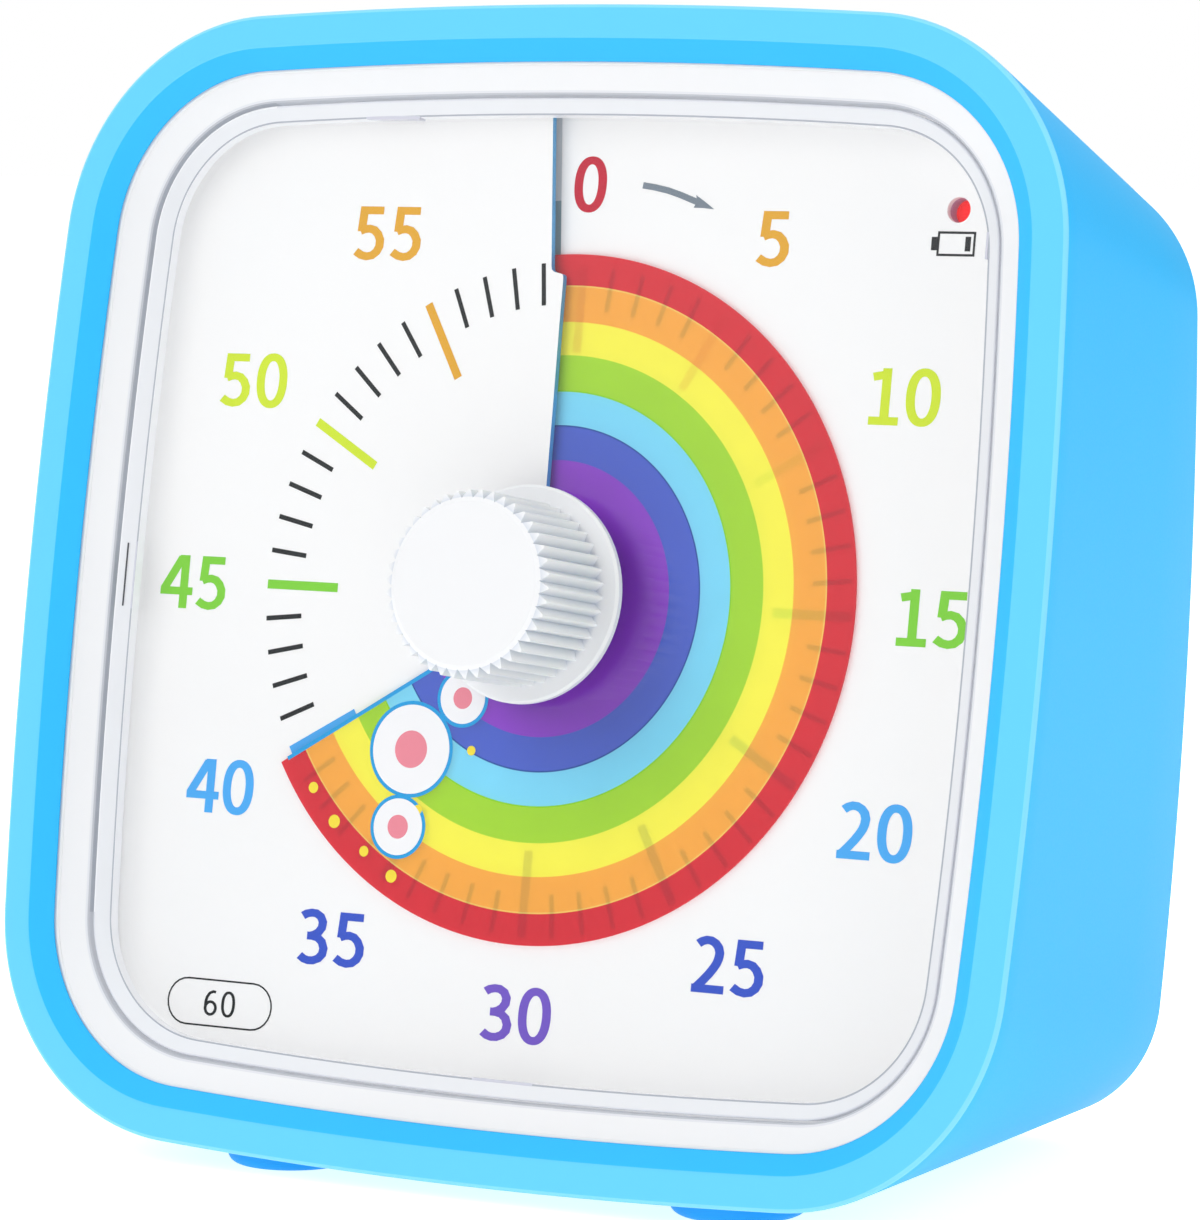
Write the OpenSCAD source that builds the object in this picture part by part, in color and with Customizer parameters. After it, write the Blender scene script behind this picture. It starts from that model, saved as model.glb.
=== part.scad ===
// Visual countdown timer: a lens-covered dial in a tapered case inside a soft sleeve.
// The case leans back on its drafted underside. Millimetres, +Z up, the dial faces -Y.
// Parts are drawn in the case's own frame, x right, y up the dial, z out of the dial,
// and placed() stands them on the table.

/* [Case outline] */
// Width and height of the sleeve's front edge
front_size = 86; // [80:1:100]
// Radius of the front corners
corner_radius = 17.1; // [14:0.1:20]
// How far each side bows out at its middle
side_bow = 0.7; // [0.3:0.1:1.5]
// Draft of the sides, which is also how far the case leans back
draft_angle = 10; // [5:0.5:12]
// Depth from the front lip to the back, at mid height
case_depth = 40.2; // [39:0.1:50]
// Angle between the back and the dial
back_angle = 6.2; // [0:0.1:8]

/* [Sleeve] */
// Thickness of the sleeve
sleeve_wall = 1.8; // [1.4:0.1:2.4]
// Width of the front lip, before its inner chamfer
lip_width = 2.6; // [2:0.1:4]
// Fall of the lip from its crest to its outer edge
lip_fall = 0.35; // [0.1:0.05:0.6]
// Width of the chamfer round the front opening
chamfer_width = 1.6; // [1:0.1:2]
// Depth of that chamfer
chamfer_depth = 1.2; // [0.8:0.1:1.6]
// Rounding of the sleeve's front outer edge
front_edge_round = 0.4; // [0.3:0.1:1]
// Rounding of the sleeve's back outer edge
back_edge_round = 1.2; // [0.6:0.1:1.4]
// How far the sleeve wraps onto the back
back_wrap = 6; // [4:0.5:9]
// Clearance between the sleeve and the case
sleeve_gap = 0.1; // [0.05:0.05:0.3]
// Diameter of a foot
foot_diameter = 10; // [7:0.5:13]
// Height of the feet under the lowest line of the sleeve
foot_height = 1.2; // [0.8:0.1:2]
// Distance between the feet, side to side
foot_spacing = 38; // [30:1:46]
// Distance of the front feet's centres behind the front lip
foot_setback = 8; // [7:0.5:12]
// Distance between the front and back feet
foot_base = 24; // [18:1:26]

/* [Front shell] */
// Depth of the dial's middle level below the front lip
dial_depth = 6.1; // [5:0.1:8]
// Wall thickness of the two case shells
case_wall = 1.8; // [1.4:0.1:2.4]
// Distance of the window's edge inside the front edge
window_inset = 6.4; // [6:0.1:8]
// Height of the window's rim above the dial's middle level
window_rim_height = 3.1; // [2.7:0.1:3.3]
// Distance of the ledge's inner edge inside the front edge
ledge_inset = 7.3; // [7.3:0.1:9.5]
// Thickness of the ledge that carries the window
ledge_thickness = 0.35; // [0.3:0.05:0.5]
// Level of the joint between the shells, below the dial's middle level
split_depth = 12; // [10:0.5:14]

/* [Window] */
// Thickness of the window's plate
window_thickness = 0.8; // [0.6:0.1:1]
// Clearance round the window
window_gap = 0.08; // [0.05:0.01:0.2]
// Width of the sloping rim of the window
window_rim_width = 1.5; // [1:0.1:2]
// Radius of the hole for the knob's neck
window_hole_radius = 4.1; // [3.9:0.1:5]

/* [Dial and time disc] */
// Thickness of the dial card
card_thickness = 0.5; // [0.4:0.05:0.7]
// Thickness of the time disc
disc_thickness = 0.15; // [0.1:0.05:0.25]
// Gap between the dial card and the time disc
disc_gap = 0.2; // [0.15:0.05:0.3]
// Radius of the time disc
disc_radius = 25.4; // [22:0.1:28]
// Angle of the slit, clockwise from twelve o'clock
slit_angle = -4.5; // [-8:0.5:0]
// Width of the slit in the card
slit_width = 0.4; // [0.3:0.1:0.8]
// Distance of the card's edge inside the front edge
card_inset = 7.1; // [6.9:0.1:7.5]
// Radius of the card's centre hole
card_hole_radius = 6.2; // [5.8:0.1:7]
// Radius of the posts that carry the card
card_post_radius = 1.4; // [1:0.1:1.6]
// Distance of those posts inside the front edge
card_post_inset = 11.5; // [10.5:0.1:12]
// Time shown at rest, in minutes
minutes_shown = 39.75; // [5:0.25:55]
// Radius of the disc's hub
hub_radius = 5; // [4.5:0.1:5.4]
// Distance of the low battery lamp from the front edge's right side
lamp_side_inset = 12.3; // [12:0.1:14]
// Distance of the low battery lamp from the front edge's top
lamp_top_inset = 13.9; // [13.5:0.1:15]
// Radius of the lamp's hole in the card
lamp_hole_radius = 0.92; // [0.8:0.02:1.2]
// Radius of the lamp itself
lamp_radius = 1.5; // [1.5:0.1:1.8]

/* [Knob and shaft] */
// Height of the knob's front above the dial's middle level
knob_height = 12; // [10:0.1:14]
// Radius at the tips of the knob's teeth
knob_radius = 6.8; // [6:0.1:7.2]
// Number of teeth round the knob
knob_teeth = 42; // [24:2:48]
// Depth of the grooves between the teeth
groove_depth = 0.65; // [0.3:0.05:0.8]
// Radius of the knob's flat front face
knob_face_radius = 5.9; // [5.4:0.05:6.5]
// Length of the bevel behind the front face
knob_bevel = 0.4; // [0.3:0.1:1.2]
// Radius of the knob's flange
flange_radius = 8; // [7.2:0.1:9.5]
// Thickness of the flange
flange_thickness = 0.8; // [0.6:0.1:1]
// Gap between the flange and the window
flange_gap = 1.2; // [0.2:0.1:1.5]
// Radius of the knob's neck, in the window's hole
neck_radius = 3.6; // [3.2:0.1:3.7]
// Radius of the shaft
shaft_radius = 2; // [1.6:0.1:2.2]
// Depth of the flat on the shaft
shaft_flat = 0.5; // [0.3:0.1:0.6]
// Radial clearance of running fits
running_gap = 0.05; // [0.03:0.01:0.08]

/* [Gear train] */
// Tooth module of the gears
gear_module = 0.8; // [0.7:0.05:0.85]
// Teeth of the centre wheel
centre_teeth = 36; // [32:1:38]
// Teeth of the intermediate pinion
pinion_teeth = 12; // [12:1:14]
// Teeth of the intermediate wheel
wheel_teeth = 30; // [28:1:32]
// Teeth of the motor's pinion
motor_teeth = 10; // [10:1:12]
// Thickness of each gear
gear_thickness = 2; // [1.5:0.1:2.5]
// Play between two meshed teeth
tooth_play = 0.16; // [0.1:0.02:0.24]
// Width of the clutch washer's sprung rim
clutch_width = 2.2; // [1.8:0.1:2.6]
// Radius of the arbor of the intermediate gear
arbor_radius = 1; // [0.8:0.1:1.2]
// Radius of the gear motor
motor_radius = 7; // [6:0.1:7.5]
// Length of the gear motor
motor_length = 8; // [6:0.5:9]
// Radius of the heads of the gear plate's screws
plate_screw_head = 1.7; // [1.4:0.1:2]
// Length of the gear plate's screws
plate_screw_length = 5; // [4:0.5:6]

/* [Power] */
// Radius of the battery cell
cell_radius = 7.1; // [6.9:0.05:7.2]
// Length of the cell's can
cell_length = 49.2; // [48:0.1:50]
// Height of the cell, above or below the dial's centre
cell_y = -15; // [-16:0.5:-12]
// Length of the sprung contact
spring_length = 3.6; // [3:0.1:5]
// Radius of the sprung contact's widest turn
coil_radius = 4.8; // [4:0.1:5.2]
// Width and height of the plates of the two contacts
contact_size = 11; // [9:0.5:12]
// Clearance between the cell and its bay
cell_gap = 0.4; // [0.3:0.1:0.8]
// Thickness of the battery door
door_thickness = 1.6; // [1.4:0.1:2]
// Clearance round the battery door
door_gap = 0.25; // [0.2:0.05:0.4]
// Radius of the door's pivot pins
door_pin_radius = 0.55; // [0.5:0.05:0.7]

/* [Back] */
// Radius of the buzzer
buzzer_radius = 8; // [6:0.5:9]
// Height of the buzzer
buzzer_height = 4.2; // [3:0.1:5]
// Radius of one speaker hole
speaker_hole_radius = 0.7; // [0.5:0.05:0.9]
// Travel of the volume switch to each side of its middle
volume_travel = 2.5; // [1.5:0.1:3]
// Travel of the duration switch
duration_travel = 3; // [2:0.1:4]
// Height of the slide switches' housings
switch_height = 6; // [5:0.1:7]
// Depth of the slide switches' housings
switch_depth = 3.4; // [2.5:0.1:4]
// Radius of the bosses for the case screws
boss_radius = 2.8; // [2.4:0.1:3.2]
// Radius of the case screws' shanks
screw_radius = 1.1; // [0.9:0.05:1.3]

/* [Hidden] */

$fn = 64;
corner_steps = 10; // facets round one corner
side_steps = 6; // facets along one bowed side
turn_steps = 120; // stations round the dial card and the time disc
cut = 1; // how far cutting shapes run past what they cut

// Levels above (+) and below (-) the dial's middle level
lip_z = dial_depth;
edge_z = lip_z - lip_fall;
chamfer_z = lip_z - chamfer_depth;
seat_z = chamfer_z - 0.1;
back_z = lip_z - case_depth;
back_slope = tan(back_angle);
shell_front_z = seat_z - sleeve_gap;
screw_pitch = disc_gap + disc_thickness + disc_gap + card_thickness;
window_back_z = screw_pitch / 2 + disc_gap + disc_thickness + 0.25;
window_front_z = window_back_z + window_thickness;
ledge_z = window_back_z - window_gap / 2;
plate_top_z = -4.1;
plate_thickness = 1.5;
plate_back_z = plate_top_z - plate_thickness;
split_z = -split_depth;

// Insets from the front outline
sleeve_inset = sleeve_wall / cos(draft_angle);
shell_inset = sleeve_inset + sleeve_gap;
shell_inner_inset = shell_inset + case_wall;
opening_inset = lip_width + chamfer_width;
card_room_inset = card_inset - 0.3;

// The outline is four shallow side arcs joined by tangent corner arcs. An inset curve of
// it has the same centres and smaller radii.
half = front_size / 2;
half_chord = half - corner_radius;
side_radius = (half_chord * half_chord + side_bow * side_bow) / (2 * side_bow);
side_centre = half - side_radius;
corner_reach = side_radius - corner_radius;
corner_centre = (side_centre
  + sqrt(2 * corner_reach * corner_reach - side_centre * side_centre)) / 2;
side_turn = atan2(corner_centre, corner_centre - side_centre);

function quarter(inset) = concat(
  [for (i = [0:side_steps - 1])
    let (a = side_turn * (2 * i / side_steps - 1))
    [(side_radius - inset) * sin(a), side_centre + (side_radius - inset) * cos(a)]],
  [for (i = [0:corner_steps - 1])
    let (a = side_turn + (90 - 2 * side_turn) * i / corner_steps)
    [corner_centre + (corner_radius - inset) * sin(a),
     corner_centre + (corner_radius - inset) * cos(a)]]);
function turned(p, quarters) = quarters == 0 ? p : turned([p[1], -p[0]], quarters - 1);
function outline(inset) = [for (q = [0:3]) for (p = quarter(inset)) turned(p, q)];

// Distance from the centre to the inset outline, in a direction clockwise from the top
function circle_reach(u, centre, radius) =
  let (along = u * centre)
  along + sqrt(along * along - centre * centre + radius * radius);
function reach(angle, inset) =
  let (a = abs(((angle + 45) % 90 + 90) % 90 - 45), u = [sin(a), cos(a)],
    side = circle_reach(u, [0, side_centre], side_radius - inset))
  side * u[0] <= (side_radius - inset) * sin(side_turn) ? side
  : circle_reach(u, [corner_centre, corner_centre], corner_radius - inset);

// A ring of points: level at the case's axis, its slope up the dial, and whether its inset
// follows the drafted sides
function drafted(inset, z) = inset + tan(draft_angle) * (edge_z - z);
plate_inset = drafted(shell_inner_inset + 0.2, plate_back_z);
function ring(inset, z, slope = 0) =
  let (low = outline(drafted(inset, 0)), high = outline(drafted(inset, 1)))
  [for (i = [0:len(low) - 1])
    let (spread = high[i] - low[i],
      level = (z + slope * low[i][1]) / (1 - slope * spread[1]),
      p = low[i] + level * spread)
    [p[0], p[1], level]];
function straight_ring(inset, z) = [for (p = outline(inset)) [p[0], p[1], z]];

// Skins a stack of rings. A closed stack joins its last ring to its first, and an open one
// has an end face on each.
module skin(rings, closed = false) {
  count = len(rings[0]);
  spans = closed ? len(rings) : len(rings) - 1;
  points = [for (r = rings) for (p = r) p];
  sides = [for (j = [0:spans - 1]) for (i = [0:count - 1])
    let (a = j * count, b = ((j + 1) % len(rings)) * count, n = (i + 1) % count)
    for (t = [[a + i, b + n, b + i], [a + i, a + n, b + n]]) t];
  ends = closed ? [] : [
    [for (i = [count - 1:-1:0]) i],
    [for (i = [0:count - 1]) (len(rings) - 1) * count + i]];
  polyhedron(points = points, faces = concat(sides, ends), convexity = 8);
}

// Placing on the table: the sleeve's lowest line ends up level, one foot height up
stand_height = foot_height + half * cos(draft_angle) - edge_z * sin(draft_angle);
function stood(p) = [p[0], p[1] * sin(draft_angle) - p[2] * cos(draft_angle),
  p[1] * cos(draft_angle) + p[2] * sin(draft_angle)];
module leaned() { rotate([90 - draft_angle, 0, 0]) children(); }
module placed() { translate([0, -middle_y, stand_height]) leaned() children(); }

// Rings of the sleeve, in order round its wall
sleeve_rings = [
  ring(lip_width, lip_z),
  ring(opening_inset, chamfer_z),
  ring(opening_inset, seat_z),
  ring(sleeve_inset, seat_z),
  ring(sleeve_inset, back_z + sleeve_wall, back_slope),
  ring(back_wrap, back_z + sleeve_wall, back_slope),
  ring(back_wrap, back_z, back_slope),
  ring(back_edge_round, back_z, back_slope),
  ring(0.3 * back_edge_round, back_z + 0.3 * back_edge_round, back_slope),
  ring(0, back_z + back_edge_round, back_slope),
  ring(0, edge_z - front_edge_round),
  ring(0.3 * front_edge_round, edge_z - 0.3 * front_edge_round),
  ring(front_edge_round, edge_z)];
sleeve_reaches = [for (r = sleeve_rings) for (p = r) stood(p)[1]];
middle_y = (min(sleeve_reaches) + max(sleeve_reaches)) / 2;

// The back's own frame: z runs into the case from the sleeve's back plane
shell_back = sleeve_wall + sleeve_gap;
shell_back_inner = shell_back + case_wall;
module on_back() { translate([0, 0, back_z]) rotate([back_angle, 0, 0]) children(); }

// Gears stand on their own axes
gear_axis = [0, gear_module * (centre_teeth + pinion_teeth) / 2];
motor_axis = gear_axis - [gear_module * (wheel_teeth + motor_teeth) / 2, 0];
wheel_addendum = 0.6 * gear_module;
pinion_addendum = 0.9 * gear_module;
first_layer_z = plate_back_z - 1.8;
second_layer_z = first_layer_z - gear_thickness - 0.4;
gear_plate_z = second_layer_z - gear_thickness - 0.6;
gear_plate_thickness = 1.4;
gear_plate_back_z = gear_plate_z - gear_plate_thickness;

function degrees(radians) = radians * 180 / PI;
function involute_angle(a) = degrees(tan(a)) - a;
function half_tooth(teeth, radius, r) =
  90 / teeth - degrees(tooth_play / 4 / radius) + involute_angle(20)
  - involute_angle(acos(min(1, radius * cos(20) / r)));
function tooth(teeth, radius, levels, middle) = concat(
  [for (i = [0:len(levels) - 1])
    let (a = middle - half_tooth(teeth, radius, levels[i])) levels[i] * [cos(a), sin(a)]],
  [for (i = [len(levels) - 1:-1:0])
    let (a = middle + half_tooth(teeth, radius, levels[i])) levels[i] * [cos(a), sin(a)]]);
module gear_outline(teeth, addendum, dedendum, phase) {
  radius = gear_module * teeth / 2;
  root = radius - dedendum;
  foot = max(root + 0.05, radius * cos(20));
  levels = [root, foot, (foot + radius + addendum) / 2, radius + addendum];
  polygon([for (t = [0:teeth - 1]) each tooth(teeth, radius, levels, phase + 360 * t / teeth)]);
}

// The shaft's section, with its flat
module shaft_section(radius) {
  difference() {
    circle(r = radius);
    translate([-radius, radius - shaft_flat]) square([2 * radius, radius]);
  }
}

// Dial card and time disc are one-turn ramps, so the disc can wind out through the slit.
// A turn is counted clockwise from the slit.
turn_at_rest = 6 * minutes_shown - slit_angle;
function ramp_z(turn) = screw_pitch * (turn / 360 - 0.5);
function around(turn, r, z) =
  [r * sin(slit_angle + turn), r * cos(slit_angle + turn), z];
module ramp(sections) {
  count = len(sections[0]);
  last = len(sections) - 1;
  polyhedron(points = [for (s = sections) for (p = s) p],
    faces = concat(
      [for (j = [0:last - 1]) for (i = [0:count - 1])
        let (a = j * count, b = a + count, n = (i + 1) % count)
        for (t = [[a + i, b + n, b + i], [a + i, a + n, b + n]]) t],
      [[for (i = [count - 1:-1:0]) i], [for (i = [0:count - 1]) last * count + i]]),
    convexity = 6);
}

lamp_x = half - lamp_side_inset;
lamp_y = half - lamp_top_inset;

sleeve_blue = [0.33, 0.79, 1];
shell_white = [0.95, 0.95, 0.96];
clear_plastic = [0.85, 0.92, 0.95, 0.35];
steel = [0.75, 0.76, 0.78];

module foot() {
  r = foot_diameter / 2;
  round_off = 0.8;
  rotate_extrude()
    union() {
      square([r - round_off, foot_height + sleeve_wall]);
      translate([0, round_off]) square([r, foot_height + sleeve_wall - round_off]);
      translate([r - round_off, round_off]) circle(r = round_off, $fn = 32);
    }
}

module protective_sleeve() {
  front_foot_y = stood([0, -half, lip_z])[1] - middle_y + foot_setback;
  color(sleeve_blue) {
    placed() skin(sleeve_rings, closed = true);
    for (x = [-1, 1], y = [0, foot_base])
      translate([x * foot_spacing / 2, front_foot_y + y, 0]) foot();
  }
}

// The window's tabs drop into notches in the ledge. Each has the way it faces, its place
// along that side and its length.
window_tabs = [[180, 0.1, 4.8], [90, 15.6, 4.4], [0, 26.2, 1.6], [270, 1.2, 4.8]];
tab_play = 0.15;
module at_window_tab(tab) {
  sag = side_radius - sqrt(side_radius * side_radius - tab[1] * tab[1]);
  rotate([0, 0, tab[0]])
    translate([half - ledge_inset - sag, tab[1] - tab[2] / 2, ledge_z - ledge_thickness])
      children();
}

hook_width = 8;
module front_shell() {
  hook_x = half - drafted(shell_inner_inset, plate_back_z);
  color(shell_white) placed() {
    difference() {
      skin(closed = true, rings = [
        ring(shell_inset, split_z),
        ring(shell_inset, shell_front_z - 1),
        ring(shell_inset + 0.3, shell_front_z - 0.3),
        ring(shell_inset + 1, shell_front_z),
        ring(opening_inset + 0.2, shell_front_z),
        straight_ring(window_inset, window_rim_height),
        straight_ring(window_inset, ledge_z),
        straight_ring(ledge_inset, ledge_z),
        straight_ring(ledge_inset, ledge_z - ledge_thickness),
        straight_ring(card_room_inset, ledge_z - ledge_thickness),
        straight_ring(card_room_inset, plate_top_z),
        ring(shell_inner_inset, plate_top_z),
        ring(shell_inner_inset, split_z)]);
      for (tab = window_tabs)
        at_window_tab(tab)
          translate([-cut, -tab_play, -tab_play])
            cube([ledge_inset - window_inset - 0.1 + cut, tab[2] + 2 * tab_play,
              ledge_thickness + tab_play + cut]);
    }
    for (turn = [0:90:270])
      rotate([0, 0, turn])
        translate([hook_x + 0.6, hook_width / 2, plate_back_z - 0.1])
          rotate([90, 0, 0])
            linear_extrude(hook_width)
              polygon([[0, 0], [-2.2, 0], [-2.2, -0.6], [0, -2.4]]);
  }
}

module clear_window() {
  color(clear_plastic) placed() difference() {
    union() {
      skin([
        straight_ring(window_inset + window_gap, window_back_z),
        straight_ring(window_inset + window_gap, window_rim_height - 0.15),
        straight_ring(window_inset + window_gap + 0.15, window_rim_height),
        straight_ring(window_inset + window_rim_width, window_front_z),
        straight_ring(window_inset + window_rim_width + 0.3, window_front_z)]);
      for (tab = window_tabs)
        at_window_tab(tab)
          translate([0.05, 0, 0.05])
            cube([ledge_inset - window_inset - 0.1 - tab_play - 0.05, tab[2],
              ledge_thickness + window_gap]);
    }
    translate([0, 0, window_back_z - cut])
      cylinder(r = window_hole_radius, h = window_thickness + 2 * cut);
  }
}

module dial_card() {
  first = degrees(slit_width / 2 / card_hole_radius) / 4;
  sections = [for (i = [0:turn_steps])
    let (turn = first + (360 - 2 * first) * i / turn_steps, z = ramp_z(turn),
      edge = reach(slit_angle + turn, card_inset))
    [around(turn, card_hole_radius, z), around(turn, edge, z),
     around(turn, edge, z - card_thickness),
     around(turn, card_hole_radius, z - card_thickness)]];
  color(shell_white) placed() difference() {
    ramp(sections);
    translate([lamp_x, lamp_y, -cut - card_thickness - screw_pitch / 2])
      cylinder(r = lamp_hole_radius, h = screw_pitch + 2 * cut + card_thickness, $fn = 32);
  }
}

module time_disc() {
  inner = (hub_radius + 0.05) / cos(180 / turn_steps);
  sections = [for (i = [0:turn_steps])
    let (turn = turn_at_rest - 360 + 0.3 + 359.4 * i / turn_steps,
      z = ramp_z(turn) + disc_gap)
    [around(turn, inner, z + disc_thickness), around(turn, disc_radius, z + disc_thickness),
     around(turn, disc_radius, z), around(turn, inner, z)]];
  color([0.86, 0.25, 0.3, 0.9]) placed() ramp(sections);
}

hub_low_z = ramp_z(turn_at_rest - 360) + disc_gap - 0.1;
hub_high_z = ramp_z(turn_at_rest) + disc_gap + disc_thickness + 0.1;
module disc_hub() {
  color(shell_white) placed() translate([0, 0, hub_low_z])
    linear_extrude(hub_high_z - hub_low_z) difference() {
      circle(r = hub_radius);
      shaft_section(shaft_radius + running_gap);
    }
}

flange_back_z = window_front_z + flange_gap;
flange_front_z = flange_back_z + flange_thickness;
neck_back_z = window_back_z + 0.1;
shaft_front_z = knob_height - 2;
module knob() {
  tip = 0.15; // half width of a tooth's blunt tip, in degrees of the knob
  step = 360 / knob_teeth;
  bevel_slope = knob_bevel / (knob_radius - knob_face_radius);
  color(shell_white) placed() difference() {
    union() {
      intersection() {
        translate([0, 0, flange_front_z - 0.1])
          linear_extrude(knob_height - flange_front_z + 0.1)
            polygon([for (i = [0:knob_teeth - 1])
              for (p = [[knob_radius, -tip * 4], [knob_radius, tip * 4],
                  [knob_radius - groove_depth, step / 2]])
                p[0] * [cos(i * step + p[1]), sin(i * step + p[1])]]);
        rotate_extrude()
          polygon([[0, flange_back_z], [knob_radius + cut, flange_back_z],
            [knob_radius + cut, knob_height - knob_bevel - bevel_slope * cut],
            [knob_face_radius, knob_height], [0, knob_height]]);
      }
      rotate_extrude()
        polygon([[0, neck_back_z], [neck_radius, neck_back_z], [neck_radius, flange_back_z],
          [flange_radius - 0.15, flange_back_z], [flange_radius, flange_back_z + 0.15],
          [flange_radius, flange_front_z - 0.2], [flange_radius - 0.2, flange_front_z],
          [0, flange_front_z]]);
    }
    translate([0, 0, neck_back_z - cut])
      linear_extrude(shaft_front_z + 0.2 - neck_back_z + cut)
        shaft_section(shaft_radius + 0.02);
  }
}

shaft_back_z = gear_plate_back_z - 2.4;
collar_z = plate_back_z - 0.3;
collar_radius = shaft_radius + 1;
clip_groove_z = gear_plate_back_z - 1.4;
clip_thickness = 0.5;
module drive_shaft() {
  color(steel) placed() difference() {
    union() {
      translate([0, 0, shaft_back_z])
        cylinder(r = shaft_radius, h = plate_top_z + 1.2 - shaft_back_z);
      translate([0, 0, plate_top_z + 1.2])
        linear_extrude(shaft_front_z - plate_top_z - 1.2) shaft_section(shaft_radius);
      translate([0, 0, first_layer_z - gear_thickness - 0.1])
        cylinder(r = collar_radius, h = collar_z - first_layer_z + gear_thickness + 0.1);
    }
    translate([0, 0, clip_groove_z])
      difference() {
        cylinder(r = shaft_radius + cut, h = clip_thickness + 0.1);
        translate([0, 0, -cut]) cylinder(r = shaft_radius - 0.4, h = clip_thickness + 3 * cut);
      }
  }
}

module shaft_clip() {
  color(steel) placed() translate([0, 0, clip_groove_z + 0.05])
    linear_extrude(clip_thickness) difference() {
      circle(r = shaft_radius + 1.5);
      circle(r = shaft_radius - 0.35);
      translate([-shaft_radius * 0.6, 0]) square([shaft_radius * 1.2, shaft_radius + 2]);
    }
}

// A dished washer with three slots presses the centre wheel against the shaft's collar
clutch_lip = collar_radius + clutch_width;
module clutch_spring() {
  z = first_layer_z - gear_thickness - 0.1;
  color(steel) placed() difference() {
    rotate_extrude()
      polygon([[shaft_radius + 0.02, z - 0.35], [collar_radius, z - 0.35],
        [clutch_lip, z + 0.05], [clutch_lip, z - 0.25], [collar_radius, z - 0.65],
        [shaft_radius + 0.02, z - 0.65]]);
    for (turn = [0:120:240])
      rotate([0, 0, turn])
        translate([collar_radius, -0.4, z - cut]) cube([clutch_lip, 0.8, 2 * cut]);
  }
}

boss_places = [[-25, 25.5], [22, 27.5], [-22, -27.5], [22, -27.5]];
boss_split_z = gear_plate_back_z - 2.6;
plate_screw_places = [[-21, -10], [21, -10], [-24, 12], [17, 11]];
pillar_radius = 2.4;
card_post_gap = 0.015;
module carrier_plate() {
  color([0.82, 0.83, 0.85]) placed() difference() {
    union() {
      translate([0, 0, plate_back_z])
        linear_extrude(plate_thickness) polygon(outline(plate_inset));
      translate([0, 0, plate_back_z]) cylinder(r = 4.5, h = plate_thickness + 1);
      for (p = boss_places)
        translate([p[0], p[1], boss_split_z])
          cylinder(r = boss_radius, h = plate_back_z - boss_split_z + 0.5);
      for (p = plate_screw_places)
        translate([p[0], p[1], gear_plate_z])
          cylinder(r = pillar_radius, h = plate_back_z - gear_plate_z + 0.5);
      translate([lamp_x, lamp_y, plate_back_z])
        cylinder(r = lamp_radius + 1, h = plate_thickness + 0.8);
      for (turn = [15:30:345])
        translate(around(turn, half - card_post_inset, plate_top_z - 0.3))
          cylinder(r = card_post_radius,
            h = ramp_z(turn) - card_thickness - card_post_gap - plate_top_z + 0.3);
    }
    translate([0, 0, plate_back_z - cut])
      cylinder(r = shaft_radius + running_gap, h = plate_thickness + 3 * cut);
    translate([gear_axis[0], gear_axis[1], plate_back_z - cut])
      cylinder(r = arbor_radius, h = cut + 1);
    translate([lamp_x, lamp_y, plate_back_z - cut])
      cylinder(r = lamp_radius + 0.05, h = plate_thickness + 3 * cut);
    for (p = boss_places)
      translate([p[0], p[1], boss_split_z - cut]) cylinder(r = screw_radius, h = 7 + cut);
    for (p = plate_screw_places)
      translate([p[0], p[1], gear_plate_z - cut])
        cylinder(r = 0.8, h = plate_screw_length + cut);
  }
}

module centre_wheel() {
  z = first_layer_z - gear_thickness;
  radius = gear_module * centre_teeth / 2;
  color([0.93, 0.9, 0.8]) placed() difference() {
    union() {
      translate([0, 0, z])
        linear_extrude(gear_thickness)
          gear_outline(centre_teeth, wheel_addendum, pinion_addendum + 0.2, 90);
      translate([0, 0, first_layer_z]) cylinder(r = collar_radius + 1.6, h = 1);
    }
    translate([0, 0, z - cut])
      cylinder(r = collar_radius + running_gap, h = gear_thickness + 3 * cut);
    for (turn = [30:60:330])
      rotate([0, 0, turn])
        translate([(radius + collar_radius) / 2 + 0.4, 0, z - cut])
          cylinder(r = 2.6, h = gear_thickness + 3 * cut, $fn = 32);
  }
}

module intermediate_gear() {
  color([0.93, 0.9, 0.8]) placed() translate([gear_axis[0], gear_axis[1], 0]) difference() {
    union() {
      translate([0, 0, first_layer_z - gear_thickness - 0.4])
        linear_extrude(gear_thickness + 0.8)
          gear_outline(pinion_teeth, pinion_addendum, wheel_addendum + 0.2,
            180 / pinion_teeth - 90);
      translate([0, 0, second_layer_z - gear_thickness])
        linear_extrude(gear_thickness)
          gear_outline(wheel_teeth, wheel_addendum, pinion_addendum + 0.2, 180);
    }
    translate([0, 0, second_layer_z - gear_thickness - cut])
      cylinder(r = arbor_radius + running_gap, h = 3 * gear_thickness + 2 * cut);
    for (turn = [22.5:45:337.5])
      rotate([0, 0, turn])
        translate([8, 0, second_layer_z - gear_thickness - cut])
          cylinder(r = 1.9, h = gear_thickness + cut + 0.2, $fn = 32);
  }
}

module intermediate_arbor() {
  color(steel) placed()
    translate([gear_axis[0], gear_axis[1], gear_plate_back_z - 0.4])
      cylinder(r = arbor_radius, h = plate_back_z + 1 - gear_plate_back_z + 0.4);
}

motor_front_z = gear_plate_back_z;
motor_shaft_radius = 0.75;
module motor_pinion() {
  color([0.93, 0.9, 0.8]) placed() translate([motor_axis[0], motor_axis[1], 0]) {
    translate([0, 0, second_layer_z - gear_thickness])
      linear_extrude(gear_thickness)
        gear_outline(motor_teeth, pinion_addendum, wheel_addendum + 0.2, 180 / motor_teeth);
    translate([0, 0, motor_front_z - 3])
      cylinder(r = motor_shaft_radius, h = second_layer_z - gear_thickness - motor_front_z + 3);
  }
}

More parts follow.
